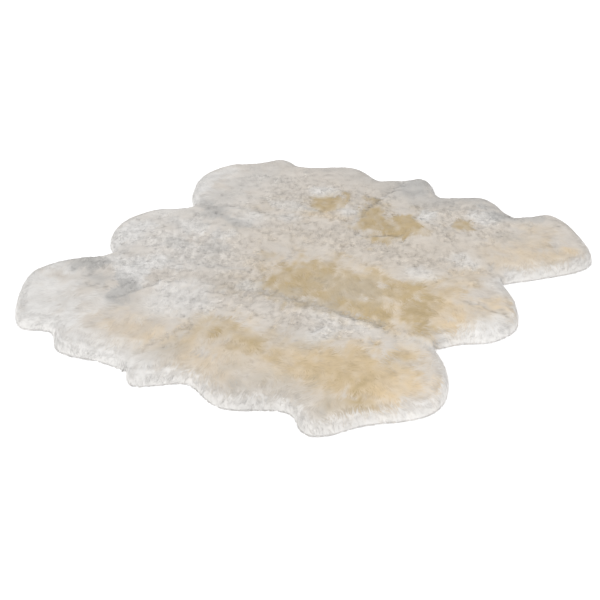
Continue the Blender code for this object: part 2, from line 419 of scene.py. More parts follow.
@dataclass
class Pelt:
    """One packed pelt: its outline from above, its hide's edge, and which of its runs are free.

    outline, outward, neighbour and freedom have a row for each of the outline's points. neighbour is
    the other pelt's index, or -1 along a free edge. freedom goes smoothly from 0 on a seam to 1.
    """

    node: Object
    outline: Array
    hide_edge: Array
    neighbour: Array = field(default_factory=lambda: np.empty(0))
    freedom: Array = field(default_factory=lambda: np.empty(0))
    backbone_inset: float = 0.28  # from each end, of the pelt's length

    def __post_init__(self) -> None:
        """Works out the outline's outward directions and the backbone."""
        ahead = np.roll(self.outline, -1, axis=0) - np.roll(self.outline, 1, axis=0)
        self.outward = unit(np.stack((ahead[:, 1], -ahead[:, 0]), 1))
        low, high = self.outline.min(0), self.outline.max(0)
        middle = (low[1] + high[1]) / 2
        inset = self.backbone_inset * (high[0] - low[0])
        self.backbone = np.array(((low[0] + inset, middle), (high[0] - inset, middle)))

    @property
    def name(self) -> str:
        """The pelt's name, without the word pelt."""
        return self.node.name.removesuffix("_pelt")

    @property
    def foot_freedom(self) -> Array:
        """The freedom of the wool close to the floor, which is free sooner past a seam's end."""
        return np.minimum(3.0 * self.freedom, 1.0)

    def nearest(self, places: Array, which: Array | None = None) -> tuple[Array, Array]:
        """The outline's point that is nearest to each place.

        Args:
            places: One (x, y) in each row.
            which: True for the outline's points that count, or None for all.

        Returns:
            The distances, and the points' indices in the outline.
        """
        allowed = np.arange(len(self.outline)) if which is None else np.flatnonzero(which)
        distance, found = nearest_in(tree_of(self.outline[allowed]), places)
        return distance, allowed[found]

    def to_backbone(self, places: Array) -> Array:
        """A unit vector from each place towards the nearest point of the backbone."""
        nearest = np.clip(places[:, 0], self.backbone[0, 0], self.backbone[1, 0])
        return unit(np.stack((nearest, np.full(len(places), self.backbone[0, 1])), 1) - places)


@dataclass
class Rug:
    """All six pelts as packed, and one smooth skin over them, to which the wool is combed."""

    outline_step: float = 0.006
    seam_reach: float = 0.0045
    corner_run: float = 0.050
    seam_weld: float = 0.0008
    skin_voxel: float = 0.009
    skin_smoothing: int = 4
    skin_neighbours: int = 5
    wall_slope: float = 0.2  # the upward part of a seam wall's normal at most
    foot_height: float = 0.022
    foot_spread: float = 0.014
    foot_run: Range = (0.045, 0.015)  # from the outline, where its spread starts and is full
    foot_flare: float = 1.6  # how much of the spread is close to the floor

    def __post_init__(self) -> None:
        """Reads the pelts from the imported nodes."""
        self.nodes = [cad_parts[name] for name in sorted(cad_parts)]
        self.low, self.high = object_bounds()
        self.pelts = [self.read(node) for node in self.nodes]
        for pelt in self.pelts:
            self.mark_seams(pelt)
        self.make_skin()

    def read(self, node: Object) -> Pelt:
        """Reads one pelt.

        Args:
            node: The pelt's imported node.

        Returns:
            The pelt, with its outline at its widest reach and the edge of its flat underside.
        """
        model = welded([node], SOLID_WELD)
        widest = max(model.verts, key=lambda vert: abs(vert.co.x)).co.z
        under = [edge for edge in model.edges if self.rims(edge)]
        hide_edge = loop_of(under)
        bmesh.ops.bisect_plane(
            model,
            geom=[*model.verts, *model.edges, *model.faces],
            plane_co=(0.0, 0.0, widest + HAIR),
            plane_no=(0.0, 0.0, 1.0),
            clear_inner=True,
            clear_outer=True,
        )
        outline = evenly(loop_of(list(model.edges)), self.outline_step)
        model.free()
        return Pelt(node, outline, hide_edge)

    @staticmethod
    def rims(edge: BMEdge) -> bool:
        """Whether an edge runs round the flat underside, with one of its faces in it."""
        flat = [all(vert.co.z < HAIR / 10 for vert in face.verts) for face in edge.link_faces]
        return sum(flat) == 1

    def mark_seams(self, pelt: Pelt) -> None:
        """Finds the pelt's neighbour at each point of its outline, and the freedom of its wool.

        Args:
            pelt: The pelt, which is changed.
        """
        pelt.neighbour = np.full(len(pelt.outline), -1)
        for index, other in enumerate(self.pelts):
            if other is not pelt:
                distance, _ = other.nearest(pelt.outline)
                pelt.neighbour[distance < self.seam_reach] = index
        free = pelt.neighbour < 0
        seam_distance, _ = pelt.nearest(pelt.outline, ~free)
        pelt.freedom = np.where(free, smooth_step(seam_distance, 0.0, self.corner_run), 0.0)

    def make_skin(self) -> None:
        """A fine, smooth, closed skin over all six pelts, without the upright walls at their seams."""
        model = welded(self.nodes, self.seam_weld)
        self.seam_tree = tree_of(np.vstack([pelt.outline[pelt.neighbour >= 0] for pelt in self.pelts]))
        walls = [face for face in model.faces if self.is_wall(face)]
        bmesh.ops.delete(model, geom=walls, context="FACES")
        self.skin = remeshed(model, "skin", self.skin_voxel)
        fine = bmesh.new()
        fine.from_mesh(self.skin)
        for _ in range(self.skin_smoothing):
            bmesh.ops.smooth_vert(
                fine, verts=fine.verts, factor=0.5, use_axis_x=True, use_axis_y=True, use_axis_z=True
            )
        fine.to_mesh(self.skin)
        fine.free()
        self.outward = np.vstack([pelt.outward * pelt.foot_freedom[:, None] for pelt in self.pelts])
        self.outline_tree = tree_of(np.vstack([pelt.outline for pelt in self.pelts]))
        write_points(self.skin, self.spread_foot(read_vectors(self.skin, "co")))
        self.skin_points = read_vectors(self.skin, "co")
        self.skin_normals = read_vectors(self.skin, "normal")
        self.skin_tree = tree_of(self.skin_points)

    def is_wall(self, face: BMFace) -> bool:
        """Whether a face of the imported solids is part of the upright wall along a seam."""
        if abs(face.normal.z) >= self.wall_slope:
            return False
        corners = np.array([vert.co.xy for vert in face.verts])
        return bool(np.all(self.from_seam(corners) < self.seam_reach))

    def spread_foot(self, points: Array) -> Array:
        """The points with those near the floor moved out along the free edges.

        The long wool of the rim hangs straight down to the floor there, over the undercut.

        Args:
            points: One (x, y, z) in each row.

        Returns:
            The points, some of them moved.
        """
        points = points.copy()
        low = np.flatnonzero(points[:, 2] < self.foot_height)
        distance, nearest = nearest_in(self.outline_tree, points[low, :2])
        share = (1.0 - points[low, 2] / self.foot_height) ** self.foot_flare
        share = smooth_step(distance, *self.foot_run) * share
        points[low, :2] += self.outward[nearest] * (self.foot_spread * share)[:, None]
        return points

    def from_seam(self, places: Array) -> Array:
        """How far each place, whose first two columns are x and y, is from the nearest seam."""
        return nearest_in(self.seam_tree, places[:, :2])[0]

    def on_skin(self, points: Array) -> tuple[Array, Array]:
        """The skin beside each point.

        Args:
            points: One (x, y, z) in each row.

        Returns:
            Each point moved straight onto the skin, and the skin's outward normals there.
        """
        near, count = self.skin_tree.find_n, self.skin_neighbours
        found = [near(point, count) for point in points.tolist()]
        index = np.array([[row[1] for row in rows] for rows in found])
        distance = np.array([[row[2] for row in rows] for rows in found])
        weight = (1.0 - distance / (distance[:, -1:] + 1e-6)) ** 2 + 1e-6
        weight = (weight / weight.sum(1, keepdims=True))[:, :, None]
        normal = unit((weight * self.skin_normals[index]).sum(1))
        beside = (weight * self.skin_points[index]).sum(1)
        off = ((points - beside) * normal).sum(1, keepdims=True)
        return points - off * normal, normal


def added(data: ID) -> Object:
    """A new object in the scene for a mesh, a lamp or a camera, with its name."""
    carrier = bpy.data.objects.new(data.name, data)
    bpy.context.scene.collection.objects.link(carrier)
    return carrier


def remeshed(model: BMesh, name: str, voxel: float) -> Mesh:
    """A closed mesh of even faces over a bmesh.

    Args:
        model: The bmesh, which is freed.
        name: The mesh's name.
        voxel: How large the faces are.

    Returns:
        The mesh.
    """
    rough = bpy.data.meshes.new(f"rough_{name}")
    model.to_mesh(rough)
    model.free()
    carrier = added(rough)
    remesh = carrier.modifiers.new("remesh", "REMESH")
    remesh.mode = "VOXEL"
    remesh.voxel_size = voxel
    bpy.context.view_layer.update()
    done = carrier.evaluated_get(bpy.context.evaluated_depsgraph_get())
    result = bpy.data.meshes.new_from_object(done)
    result.name = name
    bpy.data.objects.remove(carrier)
    bpy.data.meshes.remove(rough)
    return result


def read_vectors(mesh: Mesh, name: str) -> Array:
    """A vector property of all of a mesh's points, one in each row."""
    values = np.empty(len(mesh.vertices) * 3)
    mesh.vertices.foreach_get(name, values)
    return values.reshape(-1, 3)


def write_points(mesh: Mesh, points: Array) -> None:
    """Moves all of a mesh's points."""
    mesh.vertices.foreach_set("co", points.astype(np.float32).ravel())
    mesh.update()


# ---- the coat at a place


@dataclass
class PlanGrid:
    """A field over the rug's plan, worked out on a grid of places and read between them."""

    low: Array
    step: float
    values: Array
    margin: ClassVar[float] = 0.04

    @classmethod
    def over(cls, rug: Rug, step: float, work_out: Callable[[Array], Array]) -> "PlanGrid":
        """The grid over a rug and a small margin round it.

        Args:
            rug: The rug.
            step: The distance between the grid's places.
            work_out: Gives the field at places, which have one (x, y) in each row.

        Returns:
            The grid.
        """
        low, high = np.array(rug.low.xy) - cls.margin, np.array(rug.high.xy) + cls.margin
        axes = [np.arange(first, last + step, step) for first, last in zip(low, high)]
        places = np.stack(np.meshgrid(*axes, indexing="ij"), -1)
        values = work_out(places.reshape(-1, 2))
        return cls(low, step, values.reshape(*places.shape[:2], -1))

    def evened(self, reach: int = 2) -> "PlanGrid":
        """The grid with its field evened out.

        Args:
            reach: How many neighbours count on each side.

        Returns:
            The new grid.
        """
        values, width = self.values, 2 * reach + 1
        for axis in (0, 1):
            edges = [(reach, reach) if side == axis else (0, 0) for side in range(3)]
            wide = np.pad(values, edges, mode="edge")
            run = np.arange(values.shape[axis])
            values = sum(np.take(wide, run + first, axis) for first in range(width)) / width
        return PlanGrid(self.low, self.step, values)

    def at(self, places: Array) -> Array:
        """The field at each place.

        Args:
            places: One (x, y) or (x, y, z) in each row.

        Returns:
            The field's values there, a row for each place.
        """
        step = (places[:, :2] - self.low) / self.step
        cell = np.clip(step.astype(int), 0, np.array(self.values.shape[:2]) - 2)
        u, v = np.clip(step - cell, 0.0, 1.0).T[:, :, None]
        x, y = cell.T
        near = self.values[x, y] * (1 - u) + self.values[x + 1, y] * u
        far = self.values[x, y + 1] * (1 - u) + self.values[x + 1, y + 1] * u
        return near * (1 - v) + far * v


@dataclass
class CoatMap:
    """What the coat is like at any place on the rug, and which way it is combed there."""

    rug: Rug
    ragged: Drift = Drift(0.034, SEED + 1, 2.4, 118.0, size=0.15)
    lobes: Drift = Drift(0.120, SEED + 12, 1.6, 118.0, size=0.20)
    wobble_x: Drift = Drift(0.070, SEED + 13, size=0.006)  # of the creases and ridges
    wobble_y: Drift = Drift(0.070, SEED + 14, size=0.006)
    swirl: Drift = Drift(0.42, SEED + 2, size=0.45)  # of the wool's lie, in radians
    eddy: Drift = Drift(0.11, SEED + 3, size=0.22)
    billows: Drift = Drift(0.110, SEED + 9, size=0.0010)
    tufts: Drift = Drift(0.035, SEED + 10, size=0.0002)
    ruffles: Drift = Drift(0.036, SEED + 11, 2.2, 118.0, size=0.0026)  # in curly wool
    crease_narrowing: float = 1.5
    crease_depth: float = 0.008
    crease_shade: float = 0.55
    # the rim paler: partly its own whiter tips, partly painted light
    rim_pale: float = 0.30
    # painted light at the very edge, for the light that passes through the wool there
    edge_pale: float = 0.60
    edge_narrowing: int = 6
    # painted light low on the rim, where the wool hangs down in shade
    foot_pale: float = 0.70
    foot_heights: Range = (0.034, 0.010)  # where that starts and is full
    mottles: Drift = Drift(0.050, SEED + 15, 2.0, 118.0)
    tufting: Drift = Drift(0.050, SEED + 16, 1.8, 118.0)
    tufting_range: Range = (-0.7, 1.0)
    # the strength of the painted light on the tufts and of the painted shade round them
    tuft_contrast: float = 0.4
    tuft_middle: float = 0.45
    strand_light: float = 0.30  # the usual lightness of a strand
    tan_flat: float = 0.85  # how far curls lie flat in tan wool
    tan_mottle: float = 0.22
    warm_mottle: float = 0.10
    seam_fill: float = 0.0070
    seam_fill_width: float = 0.032
    swell_most: float = 0.006
    edge_width: float = 0.150  # from a free edge, where it draws the wool out over it
    edge_pull: float = 1.5
    seam_width: float = 0.024
    seam_pull: float = 1.3
    tip_pull: float = 0.55
    backbone_push: float = 0.45
    parting_pull: float = 0.8  # how far a fold turns the wool beside it
    comb_step: float = 0.012
    comb_passes: int = 2
    relief_step: float = 0.005

    def __post_init__(self) -> None:
        """Works out the relief, with its slopes, once for all pelts."""
        heights = PlanGrid.over(self.rug, self.relief_step, self.swell)
        slopes = np.gradient(heights.values[:, :, 0], self.relief_step)
        values = np.dstack((heights.values, *slopes))
        self.relief_grid = PlanGrid(heights.low, heights.step, values)
        self.comb_grids = {
            pelt.name: PlanGrid.over(self.rug, self.comb_step, partial(self.lay_at, pelt))
            for pelt in self.rug.pelts
        }
        for _ in range(self.comb_passes):
            self.comb_grids = {name: grid.evened() for name, grid in self.comb_grids.items()}

    def share(self, coat: Coat, places: Array) -> Array:
        """How much of one kind of coat there is.

        Args:
            coat: The kind of coat.
            places: One (x, y) in each row.

        Returns:
            A share from 0 to 1 for each place.
        """
        left_over = np.ones(len(places))
        ragged = self.ragged.at(places) + self.lobes.at(places)
        for patch in PATCHES[coat]:
            left_over *= 1.0 - patch.share(places, ragged)
        return 1.0 - left_over

    def curl(self, places: Array) -> Array:
        """How curly the wool is at each place. The tan patches are hardly curly."""
        tan = smooth_step(self.share(Coat.TAN, places), 0.25, 0.75)
        return self.share(Coat.CURLY, places) * (1.0 - self.tan_flat * tan)

    def tufted(self, places: Array) -> Array:
        """How much of the wool stands in tufts at each place, from 0 to 1; the tufts get painted light."""
        return smooth_step(self.tufting.at(places), *self.tufting_range)

    def tuft_light(self, places: Array, curly: Array) -> Array:
        """How much lighter the tufts' strands are painted, as light on their tops, and how much darker
        those round them, as painted shade.
        """
        return self.tuft_contrast * (self.tufted(places) - self.tuft_middle) * curly

    def tones(self, places: Array, rim: Array) -> dict[Coat, Array]:
        """Each tone's share at each place.

        Args:
            places: One (x, y, z) in each row.
            rim: How near each place is to a free edge, from 0 to 1, where the wool is paler, partly from
                its own whiter tips and partly as painted light.

        Returns:
            The shares of tan, cream, grey and bright white. Grey also carries painted shade in creases,
            and bright white carries painted light round the rim and its foot.
        """
        low = smooth_step(places[:, 2], *self.foot_heights) * rim
        places = places[:, :2]
        tones = {
            coat: self.share(coat, places) * (1.0 - (1.0 - kept) * rim) for coat, kept in TONES.items()
        }
        mottled = self.mottles.at(places)
        for coat, mottle in ((Coat.TAN, self.tan_mottle), (Coat.WARM, self.warm_mottle)):
            tones[coat] = np.clip(tones[coat] * (1.0 + mottle * mottled), 0.0, 1.0)
        # Painted shade: the creases are darkened with the grey tone.
        tones[Coat.GREY] = 1.0 - (1.0 - tones[Coat.GREY]) * (1.0 - self.crease(places))
        # Painted light: the rim, its very edge and its foot are lightened with the pale tone.
        left = (1.0 - tones[Coat.PALE]) * (1.0 - self.rim_pale * rim) * (1.0 - self.foot_pale * low)
        left *= 1.0 - self.edge_pale * rim**self.edge_narrowing
        tones[Coat.PALE] = 1.0 - left
        return tones

    def crease(self, places: Array) -> Array:
        """How deep in a crease each place is, where the wool is in shade.

        Args:
            places: One (x, y) in each row.

        Returns:
            A depth from 0 to 1 for each place.
        """
        places = self.wobbled(places)
        crease = np.zeros(len(places))
        for fold in FOLDS:
            if fold.depth > 0.0:
                _, weight = fold.side(places)
                crease = np.maximum(crease, weight**self.crease_narrowing * fold.depth / self.crease_depth)
        return np.clip(self.crease_shade * crease, 0.0, 1.0)

    def wobbled(self, places: Array) -> Array:
        """The places moved a little, so that what is drawn with straight lines there isn't straight."""
        return places[:, :2] + np.stack((self.wobble_x.at(places), self.wobble_y.at(places)), 1)

    def swell(self, places: Array) -> Array:
        """How far the coat's outer surface swells up, or sinks in where that is negative.

        Args:
            places: One (x, y) in each row.

        Returns:
            A height for each place.
        """
        swell = self.billows.at(places) + self.tufts.at(places)
        swell += self.ruffles.at(places) * self.curl(places)
        filled = self.seam_fill * bell(self.rug.from_seam(places), self.seam_fill_width)
        sunk, raised = np.zeros(len(places)), np.zeros(len(places))
        places = self.wobbled(places)
        for fold in FOLDS:
            _, weight = fold.side(places)
            sunk = np.maximum(sunk, fold.depth * weight)
            raised = np.maximum(raised, -fold.depth * weight)
        return np.clip(swell, -self.swell_most, self.swell_most) + filled + raised - sunk

    def relief(self, places: Array) -> tuple[Array, Array]:
        """How far the surface swells up at each place, and its slopes along X and Y."""
        values = self.relief_grid.at(places)
        return values[:, 0], values[:, 1:]

    def comb(self, pelt: Pelt, places: Array) -> Array:
        """Which way the wool lies at each place, with its swirls and its partings.

        Args:
            pelt: The pelt on which the places are.
            places: One (x, y) in each row.

        Returns:
            A unit vector (x, y) for each place.
        """
        lay = unit(self.comb_grids[pelt.name].at(places))
        lay = turned(lay, self.swirl.at(places) + self.eddy.at(places))
        bent = self.wobbled(places)
        pull = self.parting_pull
        for fold in FOLDS:
            if fold.depth > 0.0:
                away, weight = fold.side(bent)
                lay = unit(lay * (1.0 - pull * weight[:, None]) + pull * away * weight[:, None])
        return lay

    def lay_at(self, pelt: Pelt, places: Array) -> Array:
        """Which way a pelt's wool lies before it is evened out.

        It lies out over the free edges and across the seams, and elsewhere away from the backbone
        and towards the pelt's tip.

        Args:
            pelt: The pelt.
            places: One (x, y) in each row.

        Returns:
            A vector (x, y), of any length, for each place.
        """
        edge_distance, edge = pelt.nearest(places, pelt.freedom > 0.5)
        seam_distance, seam = pelt.nearest(places, pelt.neighbour >= 0)
        lay = self.edge_pull * bell(edge_distance, self.edge_width)[:, None] * pelt.outward[edge]
        lay += self.seam_pull * bell(seam_distance, self.seam_width)[:, None] * pelt.outward[seam]
        tip_side = 1.0 if pelt.backbone[:, 0].mean() > (self.rug.low.x + self.rug.high.x) / 2 else -1.0
        lay += np.array((self.tip_pull * tip_side, 0.0))
        return lay - self.backbone_push * pelt.to_backbone(places)


# ---- meshes from arrays


def mesh_from(name: str, points: Array, corners: Array, starts: Array) -> Mesh:
    """A mesh from whole arrays.

    Args:
        name: The mesh's name.
        points: One (x, y, z) in each row.
        corners: The points' indices, face after face.
        starts: The place in corners where each face starts.

    Returns:
        The mesh, shaded smooth.
    """
    mesh = bpy.data.meshes.new(name)
    mesh.vertices.add(len(points))
    mesh.vertices.foreach_set("co", np.ascontiguousarray(points, np.float32).ravel())
    mesh.loops.add(len(corners))
    mesh.loops.foreach_set("vertex_index", np.ascontiguousarray(corners, np.int32))
    mesh.polygons.add(len(starts))
    mesh.polygons.foreach_set("loop_start", np.ascontiguousarray(starts, np.int32))
    mesh.update(calc_edges=True)
    mesh.shade_smooth()
    return mesh


def repeated(numbers: Array, step: int, count: int) -> Array:
    """The numbers count times over, with one more step added each time."""
    return (numbers[None] + (np.arange(count) * step)[:, None]).ravel()


def mesh_through(name: str, rings: Array, flipped: bool = False) -> Mesh:
    """Closed forms, each with a wall through its rings and a flat face at both ends.

    Args:
        name: The mesh's name.
        rings: The points, as forms by levels by sides by 3.
        flipped: Whether the rings run clockwise, as seen from the last level.

    Returns:
        The mesh, shaded smooth.
    """
    count, levels, sides = rings.shape[:3]
    side = np.arange(sides)
    after = np.roll(side, -1)
    wall = np.stack((side, after, after + sides, side + sides), 1)
    ends = [side[::-1], side + (levels - 1) * sides]
    if flipped:
        wall, ends = wall[:, [0, 3, 2, 1]], [end[::-1] for end in ends]
    corners = np.concatenate([repeated(wall.ravel(), sides, levels - 1), *ends])
    quads = sides * (levels - 1)
    starts = 4 * np.append(np.arange(quads), (quads, quads))
    starts[-1] += sides
    corners_of_all = repeated(corners, sides * levels, count)
    return mesh_from(name, rings.reshape(-1, 3), corners_of_all, repeated(starts, len(corners), count))


def add_values(mesh: Mesh, name: str, values: Array) -> None:
    """Gives each of a mesh's points a number that its material reads by name."""
    layer = mesh.attributes.new(name, "FLOAT", "POINT")
    layer.data.foreach_set("value", np.ascontiguousarray(values, np.float32))


def add_piece(mesh: Mesh, material: Material) -> Object:
    """A piece of the rug, which rides on its body and wears one material.

    Args:
        mesh: Its mesh, which has the piece's name.
        material: The material.

    Returns:
        The piece's object.
    """
    piece = added(mesh)
    mesh.materials.clear()
    mesh.materials.append(material)
    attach(piece, ROOT_BODY)
    return piece


# ---- hides and their seams


@dataclass
class Hide:
    """One tanned hide: a thin suede sheet that lies on the floor, under its wool."""

    pelt: Pelt
    material: Material
    fringe: float = 0.022  # how far the wool hangs past the cut edge, from where it meets the floor
    underside: float = 0.0008  # above the floor, which leaves room for the seams' thread
    thickness: float = 0.0022
    edge_round: float = 0.0007
    waves: Drift = Drift(0.160, SEED + 5, size=0.0025)  # of the cut edge
    sharp_angle: float = 35.0  # in degrees

    def __post_init__(self) -> None:
        """Works out the hide's cut edge."""
        edge = self.pelt.hide_edge
        _, nearest = self.pelt.nearest(edge)
        freedom = self.pelt.freedom[nearest]
        inward = self.pelt.to_backbone(edge)
        edge = edge + inward * ((self.fringe + self.waves.at(edge)) * freedom)[:, None]
        self.cut = self.rounded(edge, freedom)

    @staticmethod
    def rounded(edge: Array, freedom: Array, times: int = 2, cut: float = 0.25) -> Array:
        """The cut edge with the corners of its free runs cut off, again and again.

        Args:
            edge: The edge's points, one (x, y) in each row.
            freedom: The freedom of the wool at each of them.
            times: How often the corners are cut.
            cut: How much of each side is cut off at both ends.

        Returns:
            The rounded edge's points.
        """
        for _ in range(times):
            after, after_free = np.roll(edge, -1, axis=0), np.roll(freedom, -1)
            points, free = [], []
            for start, end, start_free, end_free in zip(edge, after, freedom, after_free):
                if start_free > 0.0 and end_free > 0.0:
                    points += [(1 - cut) * start + cut * end, cut * start + (1 - cut) * end]
                    free += [start_free, end_free]
                elif start_free == 0.0:
                    points.append(start)
                    free.append(0.0)
            edge, freedom = np.array(points), np.array(free)
        return edge

    def build(self) -> Object:
        """The hide's closed sheet, with a softly rounded edge.

        Returns:
            The hide's object.
        """
        inward = self.pelt.to_backbone(self.cut)
        top = self.underside + self.thickness
        levels = (
            (self.edge_round, self.underside),
            (0.0, self.underside + self.edge_round),
            (0.0, top - self.edge_round),
            (self.edge_round, top),
        )
        rings = [
            np.column_stack((self.cut + inward * inset, np.full(len(self.cut), height)))
            for inset, height in levels
        ]
        mesh = mesh_through(f"{self.pelt.name}_hide", np.array([rings]))
        mesh.set_sharp_from_angle(angle=radians(self.sharp_angle))
        return add_piece(mesh, self.material)


@dataclass
class SeamThread:
    """The overcast stitches that join the hides, edge to edge, on their flesh side."""

    rug: Rug
    material: Material
    pitch: float = 0.0065
    bite: float = 0.0038  # how far from the seam the needle goes in
    slant: float = 0.0030
    thread_radius: float = 0.00036
    lift: float = 0.00040  # the stitch's lowest line, above the floor
    end_rise: float = 0.0009  # of its ends, into the hides
    straight: float = 0.7  # of its reach, before its ends rise
    unevenness: float = 0.12
    look_ahead: float = 0.004  # along the seam, for its direction
    sides: int = 6
    end_margin: float = 0.012
    least_points: int = 8  # of a seam's line
    widest_gap: int = 3  # of points that are missing in it

    def seams(self) -> list[Array]:
        """The seams' lines.

        Returns:
            The points (x, y) of each run along which two pelts meet.
        """
        lines = []
        for index, pelt in enumerate(self.rug.pelts):
            for other in range(index + 1, len(self.rug.pelts)):
                along = np.flatnonzero(pelt.neighbour == other)
                if len(along) > self.least_points:
                    breaks = np.flatnonzero(np.diff(along) > self.widest_gap)
                    start = (breaks[-1] + 1) % len(along) if len(breaks) else 0
                    lines.append(pelt.outline[np.roll(along, -start)])
        return lines

    def stitches(self, line: Array) -> Array:
        """The centrelines of one seam's stitches.

        Args:
            line: The seam's points, one (x, y) in each row.

        Returns:
            An array of stitches by 4 points by 3.
        """
        travelled = travel(line)
        length = travelled[-1] - 2 * self.end_margin
        count = max(1, int(length / self.pitch))
        places = self.end_margin + (np.arange(count) + 0.5) * length / count
        middle = points_at(line, travelled, places)
        run = unit(points_at(line, travelled, places + self.look_ahead) - middle)
        cross = np.stack((-run[:, 1], run[:, 0]), 1)
        draws = np.random.default_rng(SEED + 6).standard_normal(count)
        uneven = 1.0 + self.unevenness * draws[:, None]
        points = []
        for reach in (-1.0, -self.straight, self.straight, 1.0):
            place = middle + cross * (reach * self.bite) * uneven + run * (reach * self.slant / 2)
            rise = self.end_rise if abs(reach) == 1.0 else 0.0
            points.append(np.column_stack((place, np.full(count, self.lift + rise))))
        return np.stack(points, 1)

    def build(self) -> Object:
        """All the stitches as one mesh of short closed tubes.

        Returns:
            The thread's object.
        """
        lines = np.vstack([self.stitches(line) for line in self.seams()])
        up = np.array((0.0, 0.0, 1.0))
        cross = unit(np.cross(unit(lines[:, -1] - lines[:, 0]), up))
        angles = np.arange(self.sides)[None, :, None] * tau / self.sides
        ring = (np.cos(angles) * cross[:, None] + np.sin(angles) * up) * self.thread_radius
        mesh = mesh_through("seam_thread", lines[:, :, None] + ring[:, None], flipped=True)
        return add_piece(mesh, self.material)


# ---- wool


@dataclass
class Fleece:
    """The closed mass of wool near one hide, which carries the locks."""

    pelt: Pelt
    coat: CoatMap
    material: Material
    voxel: float = 0.0085
    bottom: float = 0.0034  # just over the hide
    foot: float = 0.0010  # at the rim, outside the hide
    depth: float = 0.0024  # under the rug's skin
    rim_depth: float = 0.0012  # more at the rim, where the locks run over a rounder surface
    rim_run: Range = (0.060, 0.035)  # from the outline, where that starts and is full
    foot_run: Range = (0.010, 0.006)
    pale_run: Range = (0.070, 0.020)
    skin_reach: float = 0.008  # how far from the skin its own surface may start
    seam_overlap: float = 0.0045  # over the seam, so that neighbours close up
    overlap_run: float = 0.060
    flat_within: float = 0.0006  # of the bottom, where points are laid flat
    flat_angle: float = 0.02
    along: float = 0.75  # its place between a lock's root and tip
    curly_sunk: float = 0.15  # how much nearer to the root that is in curly wool: painted shade under the curls, darker and a little tanner
    strand_drift: Drift = Drift(0.050, SEED + 8, size=0.04)

    def build(self) -> Object:
        """The fleece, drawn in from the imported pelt's surface on every side.

        Returns:
            The fleece's object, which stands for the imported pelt.
        """
        model = welded([self.pelt.node], SOLID_WELD)
        self.mesh = remeshed(model, f"{self.pelt.name}_fleece", self.voxel)
        write_points(self.mesh, self.drawn_in(read_vectors(self.mesh, "co")))
        self.flatten_bottom()
        self.mesh.shade_smooth()
        self.dress()
        piece = add_piece(self.mesh, self.material)
        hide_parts(self.pelt.node.name)
        return piece

    def drawn_in(self, points: Array) -> Array:
        """The points moved in from the rug's skin, with the coat's soft relief.

        Points near a seam are first moved over it. The walls along the seams are left upright.

        Args:
            points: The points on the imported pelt.

        Returns:
            The fleece's points.
        """
        plan = points[:, :2]
        distance, nearest = self.pelt.nearest(plan)
        overlap = self.seam_overlap * (1.0 - self.pelt.freedom[nearest])
        overlap *= np.clip(1.0 - distance / self.overlap_run, 0.0, 1.0)
        moved = plan - self.pelt.to_backbone(plan) * overlap[:, None]
        points = self.coat.rug.spread_foot(np.column_stack((moved, points[:, 2])))
        surface, normal = self.coat.rug.on_skin(points)
        swell, _ = self.coat.relief(surface)
        rim = smooth_step(distance, *self.rim_run) * self.pelt.freedom[nearest]
        lies = self.depth + self.rim_depth * rim - swell * np.clip(normal[:, 2], 0.0, 1.0)
        on_top = (np.linalg.norm(points - surface, axis=1) < self.skin_reach)[:, None]
        points = np.where(on_top, surface - normal * lies[:, None], points)
        foot = smooth_step(distance, *self.foot_run) * self.pelt.foot_freedom[nearest]
        bottom = self.bottom + (self.foot - self.bottom) * foot
        return np.column_stack((points[:, :2], np.maximum(points[:, 2], bottom)))

    def flatten_bottom(self) -> None:
        """Joins the many small faces of the flat bottom into a few."""
        model = bmesh.new()
        model.from_mesh(self.mesh)
        for vert in model.verts:
            if abs(vert.co.z - self.bottom) < self.flat_within:
                vert.co.z = self.bottom
        inner = [
            vert
            for vert in model.verts
            if all(corner.co.z == self.bottom for face in vert.link_faces for corner in face.verts)
        ]
        edges = {edge for vert in inner for edge in vert.link_edges}
        bmesh.ops.dissolve_limit(model, angle_limit=self.flat_angle, verts=inner, edges=list(edges))
        model.to_mesh(self.mesh)
        model.free()

    def dress(self) -> None:
        """Gives the fleece's points the values that its material reads."""
        points = read_vectors(self.mesh, "co")
        distance, nearest = self.pelt.nearest(points[:, :2])
        rim = smooth_step(distance, *self.pale_run) * self.pelt.freedom[nearest]
        for coat, share in self.coat.tones(points, rim).items():
            add_values(self.mesh, coat.value, share)
        curly = self.coat.curl(points[:, :2])
        # Painted shade: the fleece is darker under curly wool.
        add_values(self.mesh, "along", self.along - self.curly_sunk * curly)
        strand = self.coat.strand_light + self.strand_drift.at(points)
        add_values(self.mesh, "strand", strand + self.coat.tuft_light(points, curly))


@dataclass(frozen=True)
class LockStyle:
    """How the locks of one kind of wool grow, in metres and radians."""

    reach: Range  # how far a lock runs along the coat
    depth: Range  # how far its outer part lies under the coat's outer surface
    width: Range
    stray: float  # the spread of the way that it lies
    bend: float  # the spread of its turn to one side, from root to tip
    roll: float  # the spread of its twist round itself
    clump_pull: float  # how far its tip is drawn to its clump's
    rise: float  # how soon it comes up to its depth: 1 is steadily, 2 is soon
    drop: float  # how far its sides lie under its ridge
    profile: tuple[float, ...]  # its width from root to tip, as shares
    segments: int = 2
    frizz: float = 0.0006  # the spread of its small kinks
    roundness: float = 0.20  # how far its sides are shaded as turned away
    clump_depth: float = 0.0  # the spread of the clumps' depths
    tuck: float = 0.0  # how far its tip dips into the fleece


